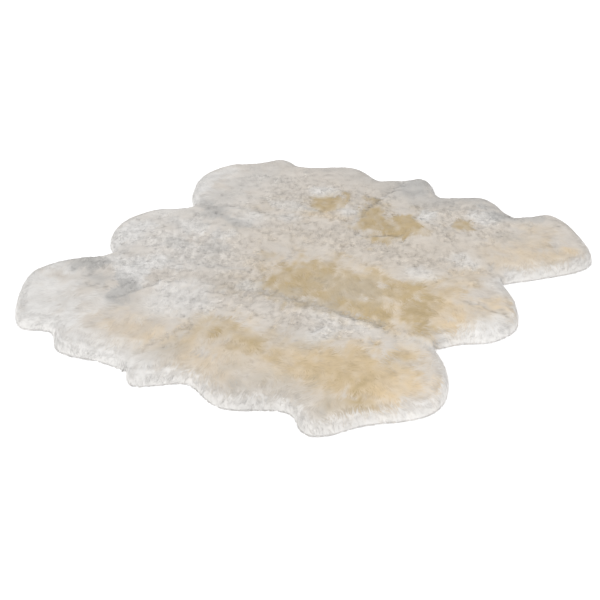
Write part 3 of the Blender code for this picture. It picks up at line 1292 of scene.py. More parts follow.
COMBED = LockStyle(
    frizz=0.0002,
    reach=(0.026, 0.044),
    depth=(0.0007, 0.0013),
    width=(0.0022, 0.0036),
    stray=0.13,
    bend=0.30,
    roll=0.06,
    clump_pull=0.35,
    clump_depth=0.0002,
    rise=1.6,
    drop=0.0012,
    tuck=0.0014,
    profile=(0.7, 1.0, 0.0),
)
CURLED = LockStyle(
    segments=3,
    reach=(0.012, 0.024),
    depth=(-0.0005, 0.0011),
    width=(0.0024, 0.0042),
    stray=0.50,
    bend=0.90,
    roll=0.20,
    clump_pull=0.60,
    clump_depth=0.0005,
    rise=1.4,
    drop=0.0021,
    tuck=0.0016,
    roundness=0.30,
    profile=(0.75, 1.0, 0.8, 0.0),
)

WISPY = LockStyle(
    reach=(0.012, 0.028),
    depth=(-0.0080, 0.0010),
    width=(0.0006, 0.0013),
    stray=0.30,
    bend=0.50,
    roll=0.10,
    clump_pull=0.10,
    rise=1.0,
    drop=0.0003,
    profile=(1.0, 0.8, 0.0),
)


@dataclass
class Growth:
    """What is settled for each lock before it is shaped. Every array has a row for each lock."""

    root: Array
    surface: Array
    normal: Array
    rim: Array
    curly: Array
    clump: Array
    clump_draw: Array

    def part(self, which: Array) -> "Growth":
        """The locks for which a condition holds."""
        return Growth(*(getattr(self, each.name)[which] for each in fields(self)))


@dataclass
class Ribbons:
    """Tapered, roof-shaped ribbons as whole arrays: three points for each level, and one at the tip."""

    points: Array
    shading: Array
    along: Array
    across: Array
    face: Array
    face_starts: Array
    own_shading: ClassVar[float] = 0.06  # of a ribbon's own normal, beside the coat's
    map_margin: ClassVar[float] = 0.14  # round each ribbon on the square map, of its cell

    @classmethod
    def along_paths(
        cls, paths: Array, normals: Array, width: Array, roll: Array, style: LockStyle
    ) -> "Ribbons":
        """Ribbons along the locks' paths.

        Args:
            paths: Locks by levels by 3, from root to tip.
            normals: The coat's outward normals there.
            width: Each lock's greatest width.
            roll: Each lock's twist round itself.
            style: Gives the width's share at each level, and how far the sides drop.

        Returns:
            The ribbons, which show their front sides outwards.
        """
        count, levels = paths.shape[:2]
        ahead = paths[:, [*range(1, levels), -1]] - paths[:, [0, *range(levels - 1)]]
        ahead = unit(ahead)
        side = unit(np.cross(normals, ahead))
        face = np.cross(ahead, side)
        c, s = np.cos(roll)[:, None, None], np.sin(roll)[:, None, None]
        side, face = side * c + face * s, face * c - side * s
        share = np.array(style.profile)[None, :-1, None]
        half = width[:, None, None] / 2 * share
        shown = unit((1.0 - cls.own_shading) * normals + cls.own_shading * face)
        ridge, side = paths[:, :-1], side[:, :-1]
        sunk = ridge - face[:, :-1] * style.drop * share
        points = np.empty((count, 3 * levels - 2, 3))
        shading = np.empty_like(points)
        for place, across in enumerate((-1.0, 0.0, 1.0)):
            points[:, place:-1:3] = (sunk if across else ridge) + across * side * half
            shading[:, place:-1:3] = shown[:, :-1] + across * style.roundness * side
        points[:, -1], shading[:, -1] = paths[:, -1], shown[:, -1]
        level = np.append(np.repeat(np.arange(levels - 1), 3), levels - 1) / (levels - 1)
        across = np.append(np.tile((0.0, 0.5, 1.0), levels - 1), 0.5)
        corners = repeated(np.array((1, 0, 3, 4, 2, 1, 4, 5)), 3, levels - 2)
        tip = 3 * (levels - 2) + np.array((1, 0, 3, 2, 1, 3))
        starts = np.append(np.arange(0, len(corners), 4), len(corners) + np.array((0, 3)))
        return cls(points, unit(shading), level, across, np.append(corners, tip), starts)

    def uvs(self, first: int, cells: int) -> Array:
        """Each ribbon's corners in a cell of its own on a square map, with a margin round them.

        Args:
            first: The first ribbon's cell.
            cells: The number of cells along each side of the map.

        Returns:
            The place (u, v) of each corner.
        """
        inner = 1.0 - 2 * self.map_margin
        local = self.map_margin + inner * np.stack((self.across, self.along), 1)[self.face]
        number = first + np.arange(len(self.points))
        cell = np.stack((number % cells, number // cells), 1)
        return ((cell[:, None] + local[None]) / cells).reshape(-1, 2)


@dataclass
class Locks:
    """The locks of one pelt: small tapered ribbons, combed over the fleece and gathered in clumps."""

    fleece: Fleece
    material: Material
    rng: np.random.Generator  # the pelt's own random numbers
    density: float = 36000.0  # locks for each square metre of curly fleece
    combed_density: float = 0.60  # of that
    locks_per_clump: int = 11
    root_depth: float = 0.0006  # in the fleece
    rim_width: float = 0.055
    rim_run: Range = (0.075, 0.012)  # from a free edge, where the rim starts and is full
    rim_density: float = 0.9
    under_density: float = 0.5
    under_reach: float = 0.045  # under the rim, as far as locks grow there
    seam_density: float = 1.3
    seam_width: float = 0.020
    seam_ruffle: float = 0.48  # how curly the wool is on the seams
    ruffle_width: float = 0.014
    rim_flat: float = 0.9  # how far curls lie flat at the rim
    curl_spread: float = 0.16
    curled_range: Range = (0.3, 0.7)
    clump_share: float = 0.8  # of a style's spread, drawn for each clump
    own_share: float = 0.5  # of a style's spread, drawn for each lock
    ringlet_share: float = 0.06  # of the curly locks
    ringlet_turn: Range = (2.4, 4.2)
    ringlet_proud: float = 0.0010
    wild_share: float = 0.14  # lie any way, under the rest
    wild_depth: float = 0.0002
    rim_depth: Range = (0.0006, 0.0014)
    rim_shorter: float = 0.2
    under_shorter: float = 0.5
    under_range: Range = (0.1, -0.6)  # of a normal's upward part, round the side
    fall: float = 0.9  # how steeply they hang down the rug's sides
    most_roll: float = 1.2
    pull_range: Range = (0.5, 1.3)  # from lock to lock, of their clumps' pull
    first_kink: float = 0.3  # of the last one's size
    floor_clearance: float = 0.0012
    clearance_spread: float = 0.0010
    over_floor: float = 0.0004  # where their sides stop
    tilt: float = 1.2
    wispy_share: float = 0.5  # of the rim's side
    curly_wisps: float = 0.30  # of the curly wool
    wisps_in_tufts: Range = (0.3, 1.7)  # of that, between the tufts with painted light and in them
    wisp_proud: float = 0.0035  # how far they stand out of it at most
    # painted light on the wisps, which stand out of the coat
    wisp_light: float = 0.45
    rim_lift: float = 0.9  # how far the rim's normals turn upwards
    rim_proud: float = 0.0020  # how far out the rim's locks start, because the rim is round
    bright_below: float = -0.52  # the draw of depth below which curly clumps stand proud, with painted light on their tips
    # painted light on the tips of the proud curly clumps
    bright_light: float = 0.60
    dull_light: float = -0.10  # painted shade on the other curly clumps
    clump_light: float = 0.06
    own_light: float = 0.07
    tone_spread: float = 0.12
    press_range: Range = (0.030, 0.008)  # heights in which the rim's wool is pressed down
    rim_press: float = 0.4

    def __post_init__(self) -> None:
        """Takes the pelt and the coat's map from the fleece."""
        self.pelt, self.coat = self.fleece.pelt, self.fleece.coat

    def build(self) -> Object:
        """All the pelt's locks as one mesh.

        Returns:
            The locks' object.
        """
        growth = self.sprout()
        chance = self.wispy_share * (growth.rim > 0.4) * (growth.normal[:, 2] < 0.8)
        between, within = self.wisps_in_tufts
        tufted = between + (within - between) * self.coat.tufted(growth.surface)
        chance += self.curly_wisps * tufted * smooth_step(growth.curly, *self.curled_range)
        wispy = self.rng.random(len(chance)) < chance
        curled = (growth.curly > 0.5) & ~wispy
        lots, owners = [], []
        for which, style in ((~curled & ~wispy, COMBED), (curled, CURLED), (wispy, WISPY)):
            lots.append(self.shape(growth.part(which), style))
            owners.append(np.flatnonzero(which))
        mesh = self.joined(lots)
        self.dress(mesh, growth, lots, owners)
        piece = add_piece(mesh, self.material)
        LOG.info("%s: %d locks, %.0f%% of them curled", piece.name, len(curled), 100 * curled.mean())
        return piece

    def sprout(self) -> Growth:
        """Settles where the locks grow, in which clumps, and how curly each of them is.

        Returns:
            The growth of all the pelt's locks.
        """
        root = self.roots()
        surface, normal = self.coat.rug.on_skin(root)
        plan = surface[:, :2]
        seam_distance, _ = self.pelt.nearest(plan, self.pelt.neighbour >= 0)
        rim_distance, _ = self.pelt.nearest(plan, self.pelt.freedom > 0.5)
        rim = smooth_step(rim_distance, *self.rim_run)
        ruffled = self.seam_ruffle * bell(seam_distance, self.ruffle_width)
        curly = np.maximum(self.coat.curl(plan), ruffled) * (1.0 - self.rim_flat * rim)
        spread = self.curl_spread * self.rng.standard_normal(len(plan)) * (curly > 0.1)
        curly = np.clip(curly + spread, 0.0, 1.0)
        clump = self.clumps(surface)
        clump_draw = self.rng.standard_normal((clump.max() + 1, 4))[clump]
        return Growth(root, surface, normal, rim, curly, clump, clump_draw)

    def roots(self) -> Array:
        """Settles from where the locks grow.

        Returns:
            A place just in the fleece's surface for each lock.
        """
        mesh = self.fleece.mesh
        mesh.calc_loop_triangles()
        corners = np.empty(len(mesh.loop_triangles) * 3, np.int32)
        mesh.loop_triangles.foreach_get("vertices", corners)
        points = read_vectors(mesh, "co")[corners.reshape(-1, 3)]
        cross = np.cross(points[:, 1] - points[:, 0], points[:, 2] - points[:, 0])
        normal = unit(cross)
        distance, nearest = self.pelt.nearest(points.mean(1)[:, :2])
        free = self.pelt.freedom[nearest]
        under = normal[:, 2] < -0.5
        curly = smooth_step(self.coat.curl(points.mean(1)[:, :2]), 0.1, 0.6)
        share = self.combed_density + (1.0 - self.combed_density) * curly
        share = np.where((distance < self.rim_width) & (free > 0.5) & ~under, self.rim_density, share)
        share = np.where((distance < self.seam_width) & (free < 0.3), self.seam_density, share)
        weight = np.linalg.norm(cross, axis=1) / 2 * np.where(under, self.under_density, share)
        wall = (self.pelt.neighbour[nearest] >= 0) & (distance < self.seam_width)
        weight[wall & (np.abs(normal[:, 2]) < 0.5)] = 0.0
        weight[under & ((distance > self.under_reach) | (free < 0.5))] = 0.0
        count = int(self.density * weight.sum())
        chosen = self.rng.choice(len(weight), count, p=weight / weight.sum())
        u, v = self.rng.random((2, count, 1))
        over = u + v > 1.0
        u, v = np.where(over, 1.0 - u, u), np.where(over, 1.0 - v, v)
        a, b, c = (points[chosen, corner] for corner in range(3))
        return a + u * (b - a) + v * (c - a) - self.root_depth * normal[chosen]

    def clumps(self, surface: Array) -> Array:
        """Which clump each lock belongs to: the one whose middle is nearest."""
        count = max(1, len(surface) // self.locks_per_clump)
        middles = self.rng.choice(len(surface), count, replace=False)
        return nearest_in(tree_of(surface[middles]), surface)[1]

    def shape(self, growth: Growth, style: LockStyle) -> Ribbons:
        """Shapes the locks of one style.

        Args:
            growth: The locks of the style.
            style: How they grow.

        Returns:
            The locks' ribbons.
        """
        count, draws, rng = len(growth.root), growth.clump_draw, self.rng
        lay = self.coat.comb(self.pelt, growth.surface[:, :2])
        own = self.own_share * rng.standard_normal(count)
        lay = turned(lay, style.stray * (self.clump_share * draws[:, 0] + own))
        own = self.own_share * rng.standard_normal(count)
        bend = style.bend * (self.clump_share * draws[:, 1] + own)
        depth = rng.uniform(*style.depth, count) + style.clump_depth * draws[:, 2]
        if style is CURLED:
            ringlet = rng.random(count) < self.ringlet_share
            ringlet_bend = np.sign(draws[:, 1]) * rng.uniform(*self.ringlet_turn, count)
            bend = np.where(ringlet, ringlet_bend, bend)
            depth -= self.ringlet_proud * ringlet
        wild = rng.random(count) < self.wild_share
        lay = turned(lay, wild * rng.uniform(-pi, pi, count))
        depth += self.wild_depth * wild
        if style is not WISPY:
            depth = np.where(growth.rim > 0.5, np.clip(depth, *self.rim_depth), depth)
        depth = np.where(growth.rim < 0.4, np.maximum(depth, -self.wisp_proud), depth)
        depth -= self.rim_proud * (1.0 - np.abs(growth.normal[:, 2])) * growth.rim
        under = smooth_step(growth.normal[:, 2], *self.under_range)
        reach = rng.uniform(*style.reach, count) * (1.0 - self.rim_shorter * growth.rim)
        reach *= 1.0 - self.under_shorter * under
        paths, normals = self.run(growth, style, lay, bend, depth, reach)
        kinks = style.frizz * rng.standard_normal(paths[:, 1:].shape)
        paths[:, 1:] += kinks * np.linspace(self.first_kink, 1.0, style.segments)[None, :, None]
        self.gather(paths, growth.clump, style.clump_pull * rng.uniform(*self.pull_range, count))
        paths[:, -1] -= style.tuck * normals[:, -1]
        self.settle(paths, growth.rim)
        width = rng.uniform(*style.width, count)
        roll = np.clip(style.roll * rng.standard_normal(count), -self.most_roll, self.most_roll)
        ribbons = Ribbons.along_paths(paths, normals, width, roll, style)
        ribbons.points[:, :, 2] = np.maximum(ribbons.points[:, :, 2], self.over_floor)
        return ribbons

    def run(
        self, growth: Growth, style: LockStyle, lay: Array, bend: Array, depth: Array, reach: Array
    ) -> tuple[Array, Array]:
        """The locks' paths along the coat.

        Args:
            growth: The locks of the style.
            style: How they grow.
            lay: The way that each lock lies at its root, from above.
            bend: Its turn to one side, from root to tip.
            depth: How far its outer part lies under the coat's outer surface.
            reach: How far it runs along the coat.

        Returns:
            The paths and the coat's normals along them, as locks by levels by 3.
        """
        surface, normal = growth.surface, growth.normal
        root_depth = ((surface - growth.root) * normal).sum(1)
        paths = np.empty((len(lay), style.segments + 1, 3))
        normals = np.empty_like(paths)
        paths[:, 0], normals[:, 0] = growth.root, self.tilted(normal, self.coat.relief(surface)[1])
        fall = -self.fall * np.clip(1.0 - normal[:, 2], 0.0, 1.0) * (normal[:, 2] > -0.3)
        heading = np.column_stack((lay, fall))
        for step in range(1, style.segments + 1):
            share = step / style.segments
            heading = unit(heading - (heading * normal).sum(1, keepdims=True) * normal)
            angle = (bend * (2.0 * share - 1.0 / style.segments) / style.segments)[:, None]
            heading = heading * np.cos(angle) + np.cross(normal, heading) * np.sin(angle)
            surface, normal = self.coat.rug.on_skin(surface + heading * (reach / style.segments)[:, None])
            level = np.clip(normal[:, 2], 0.0, 1.0)
            swell, slope = self.coat.relief(surface)
            outer = depth - swell * level
            lies = outer + (root_depth - outer) * (1.0 - share) ** style.rise
            paths[:, step] = surface - normal * lies[:, None]
            normals[:, step] = self.tilted(normal, slope)
        return paths, normals

    def tilted(self, normal: Array, slope: Array) -> Array:
        """The coat's normals tilted by its relief's slopes, and turned upwards round the rim."""
        level = np.clip(normal[:, 2:], 0.0, 1.0)
        return unit(normal + np.hstack((-self.tilt * level * slope, self.rim_lift * (1.0 - level))))

    def gather(self, paths: Array, clump: Array, pull: Array) -> None:
        """Draws the locks' tips towards the middle of their clumps.

        Args:
            paths: The paths, which are changed.
            clump: The clump that each lock belongs to.
            pull: How far each lock's tip is drawn, as a share.
        """
        size = np.maximum(np.bincount(clump), 1)
        segments = paths.shape[1] - 1
        for step in range(1, segments + 1):
            middle = np.stack([np.bincount(clump, paths[:, step, axis]) / size for axis in range(3)], 1)
            share = pull * (step / segments) ** 1.5
            paths[:, step] += share[:, None] * (middle[clump] - paths[:, step])

    def settle(self, paths: Array, rim: Array) -> None:
        """Lays the rim's lowest wool on the floor, and keeps all of it over the floor.

        Args:
            paths: The paths, which are changed.
            rim: How near each lock is to a free edge.
        """
        height = paths[:, :, 2]
        low = smooth_step(height, *self.press_range)
        height *= 1.0 - (1.0 - self.rim_press) * rim[:, None] * low
        lowest = self.floor_clearance + self.clearance_spread * self.rng.random((len(paths), 1))
        paths[:, :, 2] = np.maximum(height, lowest)

    def joined(self, lots: list[Ribbons]) -> Mesh:
        """One mesh of all the ribbons, each with a cell of its own on the OFBake map.

        Args:
            lots: The ribbons of each style.

        Returns:
            The mesh.
        """
        cells = int(np.ceil(sqrt(sum(len(lot.points) for lot in lots))))
        corners, starts, uvs, points, before = [], [], [], [], 0
        for lot in lots:
            count, size = lot.points.shape[:2]
            first_point = sum(len(part) for part in points)
            first_corner = sum(len(part) for part in corners)
            corners.append(first_point + repeated(lot.face, size, count))
            starts.append(first_corner + repeated(lot.face_starts, len(lot.face), count))
            points.append(lot.points.reshape(-1, 3))
            uvs.append(lot.uvs(before, cells))
            before += count
        name = f"{self.pelt.name}_locks"
        mesh = mesh_from(name, np.vstack(points), np.concatenate(corners), np.concatenate(starts))
        shading = np.vstack([lot.shading.reshape(-1, 3) for lot in lots])
        mesh.normals_split_custom_set_from_vertices(shading.tolist())
        layer = mesh.uv_layers.new(name="OFBake")
        layer.uv.foreach_set("vector", np.vstack(uvs).astype(np.float32).ravel())
        return mesh

    def dress(self, mesh: Mesh, growth: Growth, lots: list[Ribbons], owners: list[Array]) -> None:
        """Gives the locks' points the values that their material reads.

        Args:
            mesh: The locks' mesh.
            growth: All the pelt's locks.
            lots: The ribbons of each style.
            owners: Which locks are of each style. The wisps are the last.
        """
        count, rng = len(growth.root), self.rng
        values_of = {
            coat.value: np.clip(share * (1.0 + self.tone_spread * rng.standard_normal(count)), 0.0, 1.0)
            for coat, share in self.coat.tones(growth.surface, growth.rim).items()
        }
        strand = self.coat.strand_light + self.clump_light * growth.clump_draw[:, 3]
        strand += self.own_light * rng.standard_normal(count)
        # Painted light on the curly clumps that stand proud, and painted shade on the rest.
        bright = growth.clump_draw[:, 2] < self.bright_below
        curled = smooth_step(growth.curly, *self.curled_range)
        strand += np.where(bright, self.bright_light, self.dull_light) * curled
        strand += self.coat.tuft_light(growth.surface, growth.curly)
        # Painted light on the wisps.
        strand[owners[-1]] += self.wisp_light
        values_of["strand"] = np.clip(strand, 0.0, 1.0)
        for name, values in values_of.items():
            spread = [np.repeat(values[own], lot.points.shape[1]) for lot, own in zip(lots, owners)]
            add_values(mesh, name, np.concatenate(spread))
        for name in ("along", "across"):
            spread = [np.tile(getattr(lot, name), len(lot.points)) for lot in lots]
            add_values(mesh, name, np.concatenate(spread))


# ---- finishes


class Graph:
    """Adds and joins the nodes of one node tree."""

    def __init__(self, tree: NodeTree) -> None:
        """Takes the tree that the nodes go into."""
        self.tree = tree

    def add(self, kind: str, inputs: dict | None = None, **settings: object) -> Node:
        """One node.

        Args:
            kind: The node's type, without the words that all of them start with.
            inputs: A value or another node's output for each named or numbered socket.
            settings: The node's own properties.

        Returns:
            The node.
        """
        node = self.tree.nodes.new(f"ShaderNode{kind}")
        for name, value in settings.items():
            setattr(node, name, value)
        self.join(node, inputs or {})
        return node

    def join(self, node: Node, inputs: dict) -> None:
        """Gives each named or numbered socket of a node a value, or another node's output."""
        for name, value in inputs.items():
            if isinstance(value, NodeSocket):
                self.tree.links.new(value, node.inputs[name])
            else:
                node.inputs[name].default_value = value

    def maths(self, operation: str, first: object, second: object = 0.0) -> NodeSocket:
        """The result of one sum on two values."""
        return self.add("Math", {0: first, 1: second}, operation=operation).outputs[0]

    def mix(self, share: object, first: object, second: object) -> NodeSocket:
        """The result of mixing two colours."""
        return self.add("Mix", {0: share, 6: first, 7: second}, data_type="RGBA").outputs[2]

    def scaled(self, vector: object, factor: object) -> NodeSocket:
        """A vector or a colour times a number."""
        return self.add("VectorMath", {0: vector, "Scale": factor}, operation="SCALE").outputs[0]

    def ranged(self, value: object, *ends: float) -> NodeSocket:
        """A value taken from the range between the first two ends to that between the last two."""
        return self.add("MapRange", {0: value, **dict(enumerate(ends, 1))}).outputs[0]

    def noise(self, place: object, scale: object, detail: float, **more: float) -> NodeSocket:
        """Soft noise from 0 to 1."""
        inputs = {"Vector": place, "Scale": scale, "Detail": detail, **more}
        return self.add("TexNoise", inputs).outputs[0]

    def attribute(self, name: str) -> NodeSocket:
        """The number that each of the mesh's points carries under a name."""
        return self.add("Attribute", attribute_name=name).outputs["Fac"]

    def outer_normal(self) -> NodeSocket:
        """The normal that points out of the coat, also where a strand shows its back."""
        geometry = self.add("NewGeometry")
        side = self.ranged(geometry.outputs["Backfacing"], 0.0, 1.0, 1.0, -1.0)
        return self.scaled(geometry.outputs["Normal"], side)

    def place(self) -> NodeSocket:
        """The place on the piece, in metres."""
        return self.add("TexCoord").outputs["Object"]

    def drifting(self, colour: object, scale: float, amount: float) -> NodeSocket:
        """A colour that drifts over the piece."""
        inputs = {"Vector": self.place(), "Color": colour, "Scale": scale, "Amount": amount}
        return self.add("Group", inputs, node_tree=colour_drift_group()).outputs["Color"]

    def grain(self, **inputs: object) -> NodeOutputs:
        """Fibres and lumps, as a value and a height."""
        return self.add("Group", inputs, node_tree=fibre_grain_group()).outputs

    def bumped(self, height: object, strength: float, distance: float, **more: object) -> NodeSocket:
        """A normal that follows a height."""
        inputs = {"Strength": strength, "Distance": distance, "Height": height, **more}
        return self.add("Bump", inputs).outputs["Normal"]


FLOAT, VECTOR, COLOUR = "NodeSocketFloat", "NodeSocketVector", "NodeSocketColor"
WOOL_COLOURS = ("White", "Cream", "Tan", "Grey", "Pale")


class SharedGroup(Graph):
    """A shader node group that more than one finish uses, with its named sockets."""

    def __init__(self, name: str, inputs: dict[str, tuple[str, object]], outputs: dict[str, str]) -> None:
        """Makes the empty group.

        Args:
            name: The group's name.
            inputs: Each input's name, with its kind and its usual value.
            outputs: Each output's name, with its kind.
        """
        super().__init__(bpy.data.node_groups.new(name, "ShaderNodeTree"))
        for socket_name, (kind, value) in inputs.items():
            socket = self.tree.interface.new_socket(socket_name, in_out="INPUT", socket_type=kind)
            if value is not None:
                socket.default_value = value
        for socket_name, kind in outputs.items():
            self.tree.interface.new_socket(socket_name, in_out="OUTPUT", socket_type=kind)
        self.ins = self.tree.nodes.new("NodeGroupInput").outputs
        self.end = self.tree.nodes.new("NodeGroupOutput")


@cache
def fibre_grain_group() -> NodeTree:
    """Fine fibres and soft lumps.

    Returns:
        The group, which gives a value from 0 to 1 and a height.
    """
    group = SharedGroup(
        "fibre_grain",
        {"Vector": (VECTOR, None), "Fibre": (FLOAT, 900.0), "Lump": (FLOAT, 60.0), "Lumps": (FLOAT, 0.5)},
        {"Value": FLOAT, "Height": FLOAT},
    )
    place, lumps = group.ins["Vector"], group.ins["Lumps"]
    fine = group.noise(place, group.ins["Fibre"], 3.0)
    lump = group.noise(place, group.ins["Lump"], 2.0, Distortion=0.6)
    rest = group.maths("MULTIPLY", fine, group.maths("SUBTRACT", 1.0, lumps))
    total = group.maths("ADD", group.maths("MULTIPLY", lump, lumps), rest)
    group.join(group.end, {"Value": group.ranged(total, 0.3, 0.7, 0.0, 1.0), "Height": total})
    return group.tree


@cache
def colour_drift_group() -> NodeTree:
    """A colour that wanders lighter and darker over the surface.

    Returns:
        The group.
    """
    group = SharedGroup(
        "colour_drift",
        {"Vector": (VECTOR, None), "Color": (COLOUR, None), "Scale": (FLOAT, 6.0), "Amount": (FLOAT, 0.1)},
        {"Color": COLOUR},
    )
    noise = group.noise(group.ins["Vector"], group.ins["Scale"], 2.0)
    swing = group.maths("MULTIPLY", group.ranged(noise, 0.3, 0.7, -1.0, 1.0), group.ins["Amount"])
    factor = group.maths("ADD", swing, 1.0)
    group.join(group.end, {"Color": group.scaled(group.ins["Color"], factor)})
    return group.tree


@cache
def wool_tone_group() -> NodeTree:
    """The wool's colour from its shares of each tone, from strand to strand and root to tip.

    Returns:
        The group.
    """
    colours = dict.fromkeys(WOOL_COLOURS, (COLOUR, None))
    shares = dict.fromkeys(("Warm Share", "Tan Share", "Grey Share", "Pale Share"), (FLOAT, 0.0))
    values = {"Strand": (FLOAT, 0.5), "Along": (FLOAT, 1.0), "Root Shade": (FLOAT, 0.3)}
    group = SharedGroup("wool_tone", {**colours, **shares, **values}, {"Color": COLOUR})
    ins = group.ins
    white = group.mix(ins["Warm Share"], ins["White"], ins["Cream"])
    root = group.maths("SUBTRACT", 1.0, ins["Along"])
    root_tan = group.maths("MULTIPLY", root, group.maths("MULTIPLY", ins["Warm Share"], 0.35))
    tan_share = group.maths("MINIMUM", group.maths("ADD", ins["Tan Share"], root_tan), 1.0)
    tanned = group.mix(tan_share, white, ins["Tan"])
    paled = group.mix(ins["Pale Share"], tanned, ins["Pale"])
    greyed = group.mix(ins["Grey Share"], paled, ins["Grey"])
    # The strand value holds random tone, and also painted light and shade on the curly tufts, clumps and
    # wisps.
    strand = group.ranged(ins["Strand"], 0.0, 1.0, 0.90, 1.30)
    shade = group.maths("SUBTRACT", 1.0, group.maths("MULTIPLY", root, ins["Root Shade"]))
    group.join(group.end, {"Color": group.scaled(greyed, group.maths("MULTIPLY", strand, shade))})
    return group.tree


def rgba(colour: Colour) -> tuple[float, float, float, float]:
    """A colour with full alpha."""
    return (*colour, 1.0)


@dataclass(frozen=True)
class Finish:
    """The finish of a kind of piece, as one material."""

    name: str

    def make(self) -> Material:
        """The finish's new material, with its own nodes round the shader."""
        material = bpy.data.materials.new(self.name)
        material.use_nodes = True
        graph = Graph(material.node_tree)
        graph.join(material.node_tree.nodes["Principled BSDF"], self.surface(graph))
        return material

    def surface(self, graph: Graph) -> dict[str, object]:
        """What the surface is like.

        Args:
            graph: The material's graph, to which each finish adds its own nodes.

        Returns:
            A value or a node's output for each of the shader's sockets that the finish sets.
        """
        raise NotImplementedError


@dataclass(frozen=True)
class WoolFinish(Finish):
    """Matt, silky wool, whose tone follows the coat's patches."""

    white: Colour = (0.720, 0.667, 0.606)
    cream: Colour = (0.810, 0.640, 0.420)
    tan: Colour = (0.560, 0.435, 0.250)
    # the grey tone: grey-white wool, and painted shade in creases and on slopes that face away from the
    # light
    grey: Colour = (0.545, 0.532, 0.512)
    # the pale tone: clean white wool, and painted light round the rim and its foot
    pale: Colour = (0.860, 0.843, 0.820)
    root_shade: float = 0.20
    drift: float = 0.06
    drift_scale: float = 7.0
    roughness: Range = (0.76, 0.90)
    sheen: float = 0.20
    fibre: float = 500.0
    lump: float = 60.0
    bump: float = 0.6
    strands: bool = False  # whether the fibres run along the locks

    def surface(self, graph: Graph) -> dict[str, object]:
        """The wool's tone, with fibres that run along the locks or every way."""
        inputs = {name: rgba(getattr(self, name.lower())) for name in WOOL_COLOURS}
        inputs |= {f"{coat.value.title()} Share": graph.attribute(coat.value) for coat in TONES}
        inputs |= {name.title(): graph.attribute(name) for name in ("strand", "along")}
        inputs["Root Shade"] = self.root_shade
        tone = graph.add("Group", inputs, node_tree=wool_tone_group()).outputs["Color"]
        place = self.strand_place(graph) if self.strands else graph.place()
        grain = graph.grain(Vector=place, Fibre=self.fibre, Lump=self.lump)
        return {
            "Base Color": graph.drifting(tone, self.drift_scale, self.drift),
            "Normal": graph.bumped(grain["Height"], self.bump, 0.001, Normal=graph.outer_normal()),
            "Roughness": graph.ranged(grain["Value"], 0.0, 1.0, *self.roughness),
            "Specular IOR Level": 0.25,
            "Sheen Weight": self.sheen,
            "Sheen Roughness": 0.5,
        }

    @staticmethod
    def strand_place(graph: Graph) -> NodeSocket:
        """A place that changes fast across each lock, slowly along it, and from lock to lock."""
        parts = {
            "X": graph.attribute("across"),
            "Y": graph.maths("MULTIPLY", graph.attribute("along"), 0.35),
            "Z": graph.maths("MULTIPLY", graph.attribute("strand"), 40.0),
        }
        return graph.add("CombineXYZ", parts).outputs[0]


@dataclass(frozen=True)
class SuedeFinish(Finish):
    """The hide's flesh side: pale, matt suede with faint veins and uneven tanning."""

    name: str = "suede"
    pale: Colour = (0.78, 0.70, 0.58)
    tanned: Colour = (0.60, 0.49, 0.36)
    vein: float = 0.35
    vein_width: float = 0.04
    roughness: Range = (0.84, 0.96)
    bump: float = 0.35

    def surface(self, graph: Graph) -> dict[str, object]:
        """Clouds and veins of darker suede, with a short nap."""
        place = graph.place()
        cloud = graph.noise(place, 5.0, 4.0)
        inputs = {"Vector": place, "Scale": 9.0, "Randomness": 1.0}
        cell = graph.add("TexVoronoi", inputs, feature="DISTANCE_TO_EDGE").outputs[0]
        veins = graph.ranged(cell, 0.0, self.vein_width, self.vein, 0.0)
        share = graph.maths("ADD", graph.ranged(cloud, 0.35, 0.7, 0.0, 0.7), veins)
        colour = graph.mix(share, rgba(self.pale), rgba(self.tanned))
        nap = graph.grain(Vector=place, Fibre=1400.0, Lump=140.0)
        return {
            "Base Color": graph.drifting(colour, 40.0, 0.06),
            "Normal": graph.bumped(nap["Height"], self.bump, 0.0006),
            "Roughness": graph.ranged(nap["Value"], 0.0, 1.0, *self.roughness),
            "Sheen Weight": 0.15,
        }


@dataclass(frozen=True)
class ThreadFinish(Finish):
    """Waxed, twisted linen thread."""

    name: str = "linen_thread"
    colour: Colour = (0.72, 0.64, 0.50)
    dark: float = 0.72  # painted shade between its twisted strands: how light it is there, as a share
    roughness: float = 0.65

    def surface(self, graph: Graph) -> dict[str, object]:
        """Slanting bands of the twist, with painted shade between the strands, and fine fibres."""
        place = graph.place()
        inputs = {"Vector": place, "Scale": 900.0, "Distortion": 1.5}
        twist = graph.add("TexWave", inputs, bands_direction="DIAGONAL").outputs["Fac"]
        dark = tuple(self.dark * part for part in self.colour)
        fibres = graph.grain(Vector=place, Fibre=4000.0)
        return {
            "Base Color": graph.mix(twist, rgba(dark), rgba(self.colour)),
            "Normal": graph.bumped(fibres["Height"], 0.4, 0.0002),
            "Roughness": self.roughness,
        }


@dataclass(frozen=True)
class FloorFinish(Finish):
    """A plain, matt, pale floor."""

    name: str = "pale_floor"
    colour: Colour = (0.94, 0.94, 0.94)
    roughness: float = 0.85
    glow: float = 0.40  # the floor is lit from below as well

    def surface(self, graph: Graph) -> dict[str, object]:
        """One pale colour, which hardly drifts."""
        colour = rgba(self.colour)
        return {
            "Base Color": graph.drifting(colour, 1.5, 0.006),
            "Roughness": self.roughness,
            "Specular IOR Level": 0.1,
            "Emission Color": colour,
            "Emission Strength": self.glow,
        }


# ---- studio


class Lamp(Enum):
    """Where a soft light stands."""

    FAR = "SUN"  # as wide as its spread in degrees
    NEAR = "AREA"  # a square, as wide as its side in metres


